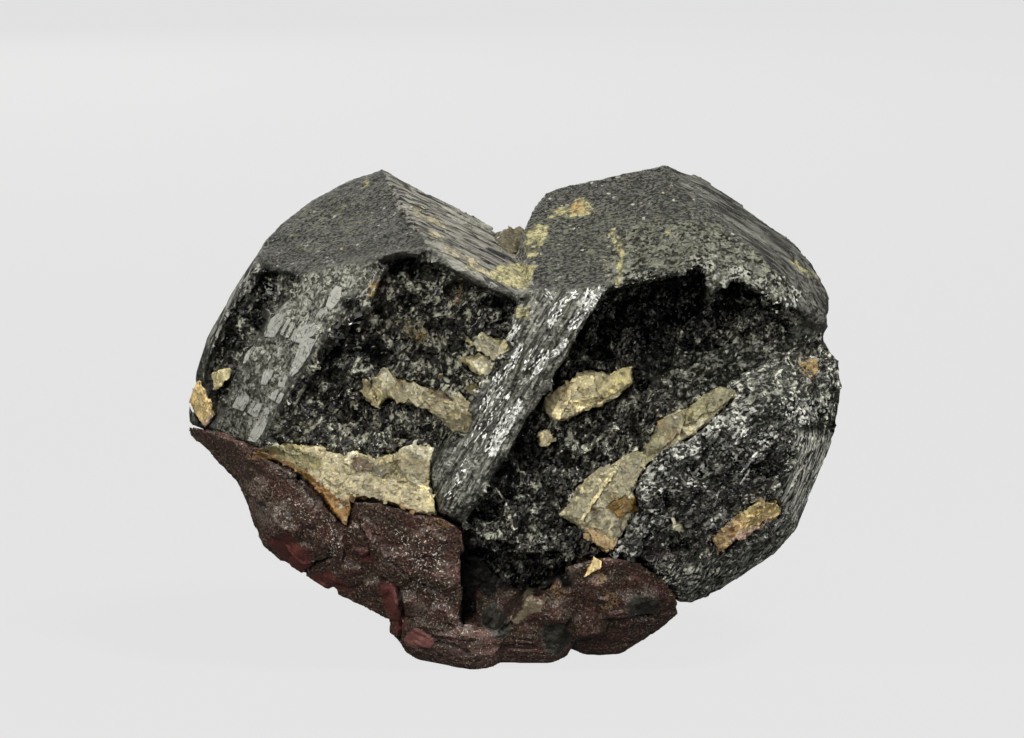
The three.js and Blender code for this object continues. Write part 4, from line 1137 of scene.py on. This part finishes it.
def make_garnet():
    """The garnet mass, rough but for its few smooth faces, layered low down, with dark cracks."""
    piece = skin_of("garnet", "garnet_mass", GARNET_SKIN)
    points = points_of(piece)
    front = np.clip((CREST_DEPTH + 1 - points[:, 1]) / 2, 0, 1)
    spots = seen(points) + swells(points, 1.1, 54) * 2
    red = any_within(spots, GARNET_RED) * front * np.where(spots[:, 0] > 560, 0.45, 1)
    pink = any_within(spots, GARNET_PINK, 1.5) * front
    grey = any_within(spots, GARNET_GREY, 10) * front
    cracks = struck(spots, GARNET_CRACKS) * front
    layered = any_within(spots, GARNET_LAYERS) * front
    relief = waves(points, 3.0, 50) * 0.20 + waves(points, 1.2, 51) * 0.03
    relief += facets(points, 3.2, 52, 0.03, 0.14)
    relief += layered * facets(drawn_along(points, LAYERS, 9), 0.6, 56, 0.25, 0.4)
    relief += facets(points, 0.45, 53, 0.05, 0.35) * (1 - np.maximum.reduce([red, pink, grey]))
    relief -= cracks * 0.5
    relief *= np.clip(points[:, 2] / 1.5, 0, 1)
    move_points(piece, points + normals_of(piece) * relief[:, None])
    paint(piece, "zones", [red, pink, grey, any_within(spots, GARNET_SPARKLE, 12) * front])
    paint(piece, "stains", [any_within(spots, GARNET_CREAM) * front, spotted(spots, GARNET_RUST) * front,
                            any_within(spots, GARNET_GLASS, 5) * front, cracks])
    paint(piece, "more", [layered])
    dress(piece, "garnet", garnet(), 40, "garnet")
    return piece


# The flakes and grains

TINTS = {"cream": (0.37, 0.325, 0.205), "moss": (0.26, 0.24, 0.142), "white": (0.66, 0.62, 0.47),
         "tan": (0.29, 0.25, 0.145), "brown": (0.085, 0.055, 0.025), "amber": (0.19, 0.11, 0.012),
         "olive": (0.165, 0.145, 0.068), "yellow": (0.44, 0.38, 0.19), "grey": (0.38, 0.345, 0.235),
         "rust": (0.2, 0.105, 0.028), "dusk": (0.15, 0.13, 0.085), "orange": (0.34, 0.235, 0.12),
         "pink": (0.6, 0.44, 0.34), "straw": (0.64, 0.565, 0.335), "apricot": (0.7, 0.54, 0.27)}

# Each flake or grain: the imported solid, the name of its piece, its slot, its finish and its tint
FLAKES = [
    ("mica_ledge", "mica_ledge_sheet", "mica", "satin", "cream"),
    ("mica_flake_left", "mica_bed_left", "mica", "clear", "tan"),
    ("mica_flake_upper", "mica_bed_upper", "mica", "clear", "straw"),
    ("mica_flake_beneath", "mica_bed_beneath", "mica", "clear", "straw"),
    ("mica_flake_right", "mica_bed_right", "mica", "satin", "cream"),
    ("mica_vein", "mica_vein_bed", "mica", "satin", "grey"),
    ("mica_speck_low", "mica_speck", "mica", "satin", "white"),
    ("feldspar_grain_right", "feldspar_bar_right", "feldspar", "satin", "orange"),
    ("feldspar_grain_left", "feldspar_bar_left", "feldspar", "satin", "apricot"),
    ("feldspar_chip_left", "feldspar_chip", "feldspar", "satin", "straw"),
    ("feldspar_speck", "feldspar_spot", "feldspar", "satin", "cream"),
    ("quartz_grain", "quartz_lump", "quartz", "clear", "dusk")]

# Strokes of tint on the flakes: from, to and half width on the photograph
TINT_STROKES = [
    ("olive", (262, 450), (300, 452), 6.0), ("olive", (300, 455), (322, 462), 6.0),
    ("rust", (258, 452), (285, 464), 3.0), ("rust", (285, 464), (310, 482), 3.0),
    ("rust", (310, 484), (322, 500), 6.0), ("rust", (320, 496), (342, 526), 9.0),
    ("rust", (306, 472), (338, 500), 3.0), ("rust", (340, 524), (350, 505), 5.0),
    ("rust", (338, 500), (356, 498), 4.0), ("rust", (356, 499), (400, 506), 4.0),
    ("rust", (400, 508), (430, 519), 4.0), ("straw", (424, 490), (434, 506), 5.0),
    ("brown", (342, 500), (346, 503), 3.0), ("tan", (396, 462), (418, 470), 14.0),
    ("moss", (640, 452), (656, 438), 10.0), ("moss", (690, 412), (730, 392), 10.0),
    ("orange", (654, 419), (674, 432), 4.0), ("olive", (684, 416), (704, 402), 3.0),
    ("dusk", (708, 400), (716, 405), 2.0), ("brown", (592, 509), (606, 513), 2.0),
    ("brown", (606, 513), (619, 524), 2.0), ("brown", (619, 524), (622, 532), 1.6),
    ("orange", (590, 535), (606, 546), 5.0), ("amber", (614, 506), (630, 504), 7.0),
    ("yellow", (735, 512), (770, 503), 3.0), ("pink", (732, 540), (768, 522), 5.0),
    ("rust", (728, 524), (733, 534), 2.0), ("pink", (206, 424), (212, 416), 3.0),
    ("tan", (545, 395), (555, 405), 8.0), ("rust", (563, 392), (576, 380), 1.5),
    ("brown", (371, 381), (378, 399), 1.5), ("brown", (398, 375), (403, 389), 1.5),
    ("brown", (434, 391), (446, 398), 2.0), ("brown", (444, 390), (452, 402), 1.5),
    ("brown", (354, 458), (370, 464), 3.0), ("brown", (596, 400), (606, 394), 2.0),
    ("apricot", (744, 521), (776, 508), 7.0)]

# Leaves laid over the flakes: tint, lift in mm, clear or not, and outline on the photograph
LEAVES = [
    ("olive", 0.25, "satin", [(258, 451), (274, 446), (281, 444), (284, 449), (300, 454), (313, 456),
     (322, 460), (318, 470), (300, 466), (283, 459)]),
    ("yellow", 0.4, "satin", [(281, 445), (293, 448), (304, 453), (300, 455), (288, 452), (279, 450)]),
    ("yellow", 0.35, "satin", [(294, 444), (302, 446), (311, 452), (312, 456), (304, 452), (296, 449)]),
    ("orange", 0.35, "satin", [(277, 455), (290, 460), (306, 470), (322, 484), (336, 493), (330, 494),
     (312, 481), (296, 469), (282, 461)]),
    ("cream", 0.3, "satin", [(322, 457), (328, 453), (333, 456), (344, 458), (343, 468), (350, 476),
     (340, 486), (326, 478), (320, 468)]),
    ("white", 0.5, "satin", [(347, 461), (350, 452), (354, 450), (358, 453), (353, 458), (350, 464)]),
    ("brown", 0.45, "satin", [(352, 463), (357, 457), (366, 459), (374, 466), (372, 470), (364, 469),
     (357, 471)]),
    ("dusk", 0.4, "clear", [(373, 466), (385, 463), (396, 469), (390, 472), (383, 477), (376, 472)]),
    ("olive", 0.3, "satin", [(359, 453), (366, 455), (370, 461), (362, 459)]),
    ("cream", 0.5, "satin", [(387, 458), (390, 453), (397, 455), (394, 461), (388, 463)]),
    ("white", 0.55, "clear", [(397, 457), (400, 449), (409, 445), (417, 442), (421, 450), (427, 455),
     (426, 468), (424, 480), (420, 486), (409, 480), (400, 468)]),
    ("white", 0.8, "satin", [(428, 453), (431, 447), (435, 447), (433, 452), (429, 457)]),
    ("cream", 0.35, "satin", [(352, 474), (368, 473), (380, 480), (396, 482), (414, 490), (424, 490),
     (424, 511), (404, 506), (388, 500), (366, 495), (350, 492), (344, 480)]),
    ("tan", 0.35, "satin", [(255, 453), (262, 448), (274, 445), (285, 449), (287, 461), (272, 459),
     (262, 457)]),
    ("brown", 0.3, "satin", [(300, 469), (312, 474), (322, 485), (326, 494), (316, 486), (306, 476)]),
    ("straw", 0.5, "clear", [(424, 487), (430, 493), (434, 501), (435, 511), (427, 512), (418, 506),
     (420, 496)]),
    ("straw", 0.25, "satin", [(359, 391), (364, 387), (362, 378), (367, 379), (372, 385), (381, 390),
     (383, 394), (379, 402), (370, 400), (364, 396)]),
    ("white", 0.5, "clear", [(381, 369), (384, 367), (389, 371), (394, 378), (396, 383), (391, 389),
     (384, 390), (381, 382)]),
    ("tan", 0.3, "clear", [(384, 391), (392, 386), (401, 388), (410, 394), (405, 403), (397, 401),
     (390, 396)]),
    ("cream", 0.55, "clear", [(404, 379), (408, 385), (414, 381), (420, 386), (427, 388), (422, 395),
     (425, 402), (418, 407), (411, 401), (403, 394)]),
    ("tan", 0.35, "clear", [(416, 406), (427, 396), (437, 394), (447, 398), (452, 404), (451, 412),
     (442, 419), (430, 411)]),
    ("cream", 0.5, "clear", [(441, 420), (450, 413), (456, 407), (463, 412), (471, 418), (474, 425),
     (472, 433), (463, 436), (455, 433), (449, 427)]),
    ("cream", 0.4, "clear", [(444, 390), (455, 397), (459, 391), (466, 398), (471, 408), (473, 419),
     (462, 412), (456, 406), (454, 399)]),
    ("olive", 0.3, "clear", [(464, 387), (470, 383), (477, 383), (478, 390), (471, 394)]),
    # Tinted white, lighter than this flake's own tan: painted light where the roof shades it
    ("white", 0.4, "satin", [(473, 343), (479, 340), (479, 334), (482, 332), (489, 338), (498, 346),
     (508, 350), (507, 360), (503, 366), (494, 361), (484, 354), (476, 348)]),
    ("straw", 0.3, "satin", [(460, 332), (467, 336), (474, 345), (471, 346), (465, 339)]),
    # Tinted white, lighter than this flake's own tan: painted light where the roof shades it
    ("white", 0.4, "satin", [(471, 362), (480, 358), (490, 362), (496, 364), (491, 374), (487, 376),
     (478, 371)]),
    ("straw", 0.3, "clear", [(457, 357), (465, 358), (471, 361), (471, 365), (462, 362)]),
    ("straw", 0.6, "satin", [(552, 417), (551, 412), (560, 397), (567, 387), (572, 378), (578, 376),
     (582, 379), (576, 390), (568, 401), (562, 412), (559, 420)]),
    ("straw", 0.4, "satin", [(578, 377), (586, 375), (594, 378), (593, 384), (584, 389), (578, 387)]),
    ("tan", 0.3, "clear", [(544, 397), (550, 392), (560, 392), (560, 398), (553, 410), (548, 408)]),
    ("yellow", 0.5, "satin", [(597, 385), (606, 378), (614, 371), (621, 368), (632, 367), (629, 375),
     (631, 382), (620, 389), (612, 394), (603, 398), (597, 392)]),
    ("straw", 0.25, "satin", [(572, 402), (584, 399), (596, 396), (603, 400), (595, 407), (586, 411),
     (576, 409)]),
    ("grey", 0.3, "clear", [(559, 513), (569, 503), (575, 488), (590, 474), (600, 466), (609, 463),
     (612, 467), (604, 480), (594, 494), (586, 507), (580, 518), (570, 515)]),
    ("straw", 0.8, "satin", [(579, 519), (586, 507), (604, 480), (615, 466), (617, 468), (607, 483),
     (590, 508), (583, 520)]),
    ("grey", 0.5, "clear", [(616, 470), (622, 460), (630, 452), (637, 450), (641, 458), (641, 464),
     (636, 480), (630, 490), (618, 498), (607, 505), (598, 507), (596, 502), (608, 483)]),
    ("amber", 0.55, "clear", [(611, 505), (616, 499), (627, 497), (634, 500), (632, 508), (624, 514),
     (616, 516)]),
    ("grey", 0.55, "clear", [(590, 512), (600, 508), (609, 509), (615, 515), (621, 523), (621, 532),
     (615, 538), (604, 532), (594, 527), (585, 523)]),
    ("orange", 0.3, "satin", [(583, 525), (594, 529), (606, 535), (617, 541), (612, 549), (603, 547),
     (594, 542)]),
    ("grey", 0.4, "clear", [(642, 447), (651, 439), (657, 430), (656, 421), (666, 416), (678, 412),
     (684, 419), (679, 430), (669, 441), (656, 452), (646, 452)]),
    ("grey", 0.55, "clear", [(648, 446), (656, 434), (662, 426), (671, 420), (680, 419), (676, 428),
     (667, 440), (656, 449)]),
    ("moss", 0.5, "satin", [(684, 413), (693, 405), (701, 397), (708, 395), (708, 404), (703, 413),
     (693, 422), (684, 424)]),
    ("moss", 0.35, "clear", [(706, 393), (718, 389), (729, 387), (735, 392), (727, 401), (715, 409),
     (706, 412)]),
    ("apricot", 1.2, "satin", [(583, 576), (587, 564), (593, 555), (601, 560), (599, 568), (591, 571)])]


def tints_at(spots, name, leaves=LEAVES):
    """The tint of a flake at places on the photograph: its own, then that of its leaves and strokes."""
    colour = np.tile(TINTS[name], (len(spots), 1))
    shares = [(tint, within(spots, outline, SOFT_LEAF)) for tint, lift, kind, outline in leaves]
    shares += [(tint, struck(spots, [stroke])) for tint, *stroke in TINT_STROKES]
    for tint, share in shares:
        colour += share[:, None] * (np.array(TINTS[tint]) - colour)
    return colour


def make_flake(node, name, slot, finish, tint, seed):
    """The bed of a flake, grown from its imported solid, crumbly where its leaves end."""
    piece = skin_of(node, name, FLAKE_SKIN)
    points = points_of(piece)
    relief = facets(points, 1.1, seed, 0.12, 0.35) + facets(points, 0.4, seed + 2, 0.10, 0.4)
    moved = points + normals_of(piece) * relief[:, None]
    moved[:, (0, 2)] += swells(points, 0.5, seed + 4) * 0.12
    move_points(piece, moved)
    paint(piece, "leaf", tints_at(seen(points) + swells(points, 0.7, 71) * 2.5, tint).T)
    dress(piece, slot, finish, 30, node)
    return piece


def make_slabs(name, shapes, tints, finish):
    """Leaves or crumbs of mica as one mesh, each point with its tint."""
    piece = thin_slabs(name, shapes)
    paint(piece, "leaf", np.array(tints).T)
    dress(piece, "mica", finish, 25)
    return piece


def make_leaves(trees, kind, finish):
    """The leaves of one kind, each lying flat on what is behind it, as one mesh."""
    rng = np.random.default_rng(97)
    shapes, tints = [], []
    for tint, lift, leaf_kind, outline in LEAVES:
        if leaf_kind == kind:
            middle, facing = flat_through(trees, outline, 0.10, rng)
            spots = frayed(outline, 3, 0.7, rng)
            shapes.append((sight_of(spots), middle + TOWARDS_VIEWER * lift * 0.6, facing, LEAF_THICK, 0.05))
            tints.extend(list(tints_at(spots, tint, ())) * 3)
    return make_slabs("mica_leaves_" + kind, shapes, tints, finish)


def make_crumbs(beds, trees, finish):
    """Small loose-looking leaves and crumbs standing at all angles on the flakes, as one mesh."""
    rng = np.random.default_rng(99)
    shapes, tints = [], []
    for bed, row in zip(beds, FLAKES):
        points = points_of(bed)
        facing_us = np.flatnonzero(normals_of(bed) @ TOWARDS_VIEWER > 0.3)
        for i in rng.choice(facing_us, len(facing_us) // CRUMB_POINTS):
            spot = seen(points[i:i + 1])[0]
            places, facing = met(trees, sight_of([spot]))
            if len(places) and np.linalg.norm(places[0] - points[i]) < CRUMB_REACH:
                turn = rng.uniform(0, 2 * math.pi)
                along = np.array([math.cos(turn), math.sin(turn)])
                size, narrow = rng.gamma(3.0, 0.7) + 0.8, rng.uniform(0.3, 0.9)
                round_about = np.sort(rng.uniform(0, 2 * math.pi, 6))
                corners = np.stack([np.cos(round_about), np.sin(round_about) * narrow], 1) * size
                outline = spot + corners[:, :1] * along + corners[:, 1:] * np.array([-along[1], along[0]])
                tilted = unit(facing[0] + TOWARDS_VIEWER * 0.5 + rng.normal(0, 0.3, 3))
                shade = rng.uniform(0.7, 1.35)
                # A crumb that would be seen edge-on is left out, after its random numbers are drawn
                if tilted @ TOWARDS_VIEWER > 0.5:
                    lifted = places[0] + TOWARDS_VIEWER * 0.08
                    shapes.append((sight_of(outline), lifted, tilted, LEAF_THICK, 0.02))
                    tints.extend(list(tints_at(spot[None], row[4]) * shade) * 18)
    make_slabs("mica_crumbs", shapes, tints, finish)


def make_flakes(twin, garnet_mass):
    """The beds of the flakes and grains, with their leaves and crumbs."""
    finishes = {"satin": mica("mica_satin", 0.0), "clear": mica("mica_clear", 0.35)}
    beds = [make_flake(node, name, slot, finishes[finish], tint, 80 + 10 * i)
            for i, (node, name, slot, finish, tint) in enumerate(FLAKES)]
    trees = trees_of([twin, garnet_mass, *beds])
    leaves = [make_leaves(trees, kind, finish) for kind, finish in finishes.items()]
    make_crumbs(beds, trees_of([twin, *beds, *leaves]), finishes["clear"])


# Stage, light and camera

def plain_grey(share):
    """An opaque grey."""
    return (share, share, share, 1.0)


def towards(way):
    """The turn of a light or a camera that looks along a direction."""
    return Vector(way).to_track_quat("-Z", "Y").to_euler()


def make_floor():
    """A plain pale floor, lit by its own glow so that it stays even."""
    bpy.ops.mesh.primitive_plane_add(size=FLOOR_WIDTH)
    floor = bpy.context.object
    floor.name = "floor"
    f = Finish("floor", Roughness=1.0, Emission_Strength=FLOOR_GLOW, Specular_IOR_Level=0.0)
    floor.data.materials.append(f.close(Base_Color=plain_grey(FLOOR_GREY), Emission_Color=plain_grey(1.0)))
    floor.visible_glossy = False
    floor.visible_diffuse = False


def make_lights():
    """Soft round studio lights, and a dim grey sky."""
    for name, place, width, power in LIGHTS:
        data = bpy.data.lights.new(name, "AREA")
        data.shape = "DISK"
        data.size = width * MM
        data.energy = power
        data.color = LIGHT_TINT
        light = added(name, data)
        light.location = Vector(place) * MM
        light.rotation_euler = towards(Vector(LIGHT_AIM) - Vector(place))
    world = bpy.data.worlds.new("studio")
    world.use_nodes = True
    sky = world.node_tree.nodes["Background"].inputs
    sky["Color"].default_value = plain_grey(SKY_GREY)
    sky["Strength"].default_value = SKY_STRENGTH
    bpy.context.scene.world = world
    bpy.context.scene.view_settings.view_transform = "Standard"


def make_camera():
    """The photograph's camera, whose middle line meets the specimen at the photograph's middle."""
    data = bpy.data.cameras.new("camera")
    data.sensor_width = SENSOR
    data.lens = SENSOR * CAMERA_AWAY * PIXELS_PER_MM / PHOTO_SIZE[0]
    data.clip_end = CAMERA_AWAY * MM * 5
    camera = added("camera", data)
    middle = sight_of([(PHOTO_SIZE[0] / 2, PHOTO_SIZE[1] / 2)])[0] - TOWARDS_VIEWER * SIGHT_AWAY
    camera.location = Vector(middle + TOWARDS_VIEWER * CAMERA_AWAY) * MM
    camera.rotation_euler = towards(-TOWARDS_VIEWER)
    bpy.context.scene.camera = camera


make_floor()
make_camera()
make_lights()
twin = make_twin()
garnet_mass = make_garnet()
make_flakes(twin, garnet_mass)
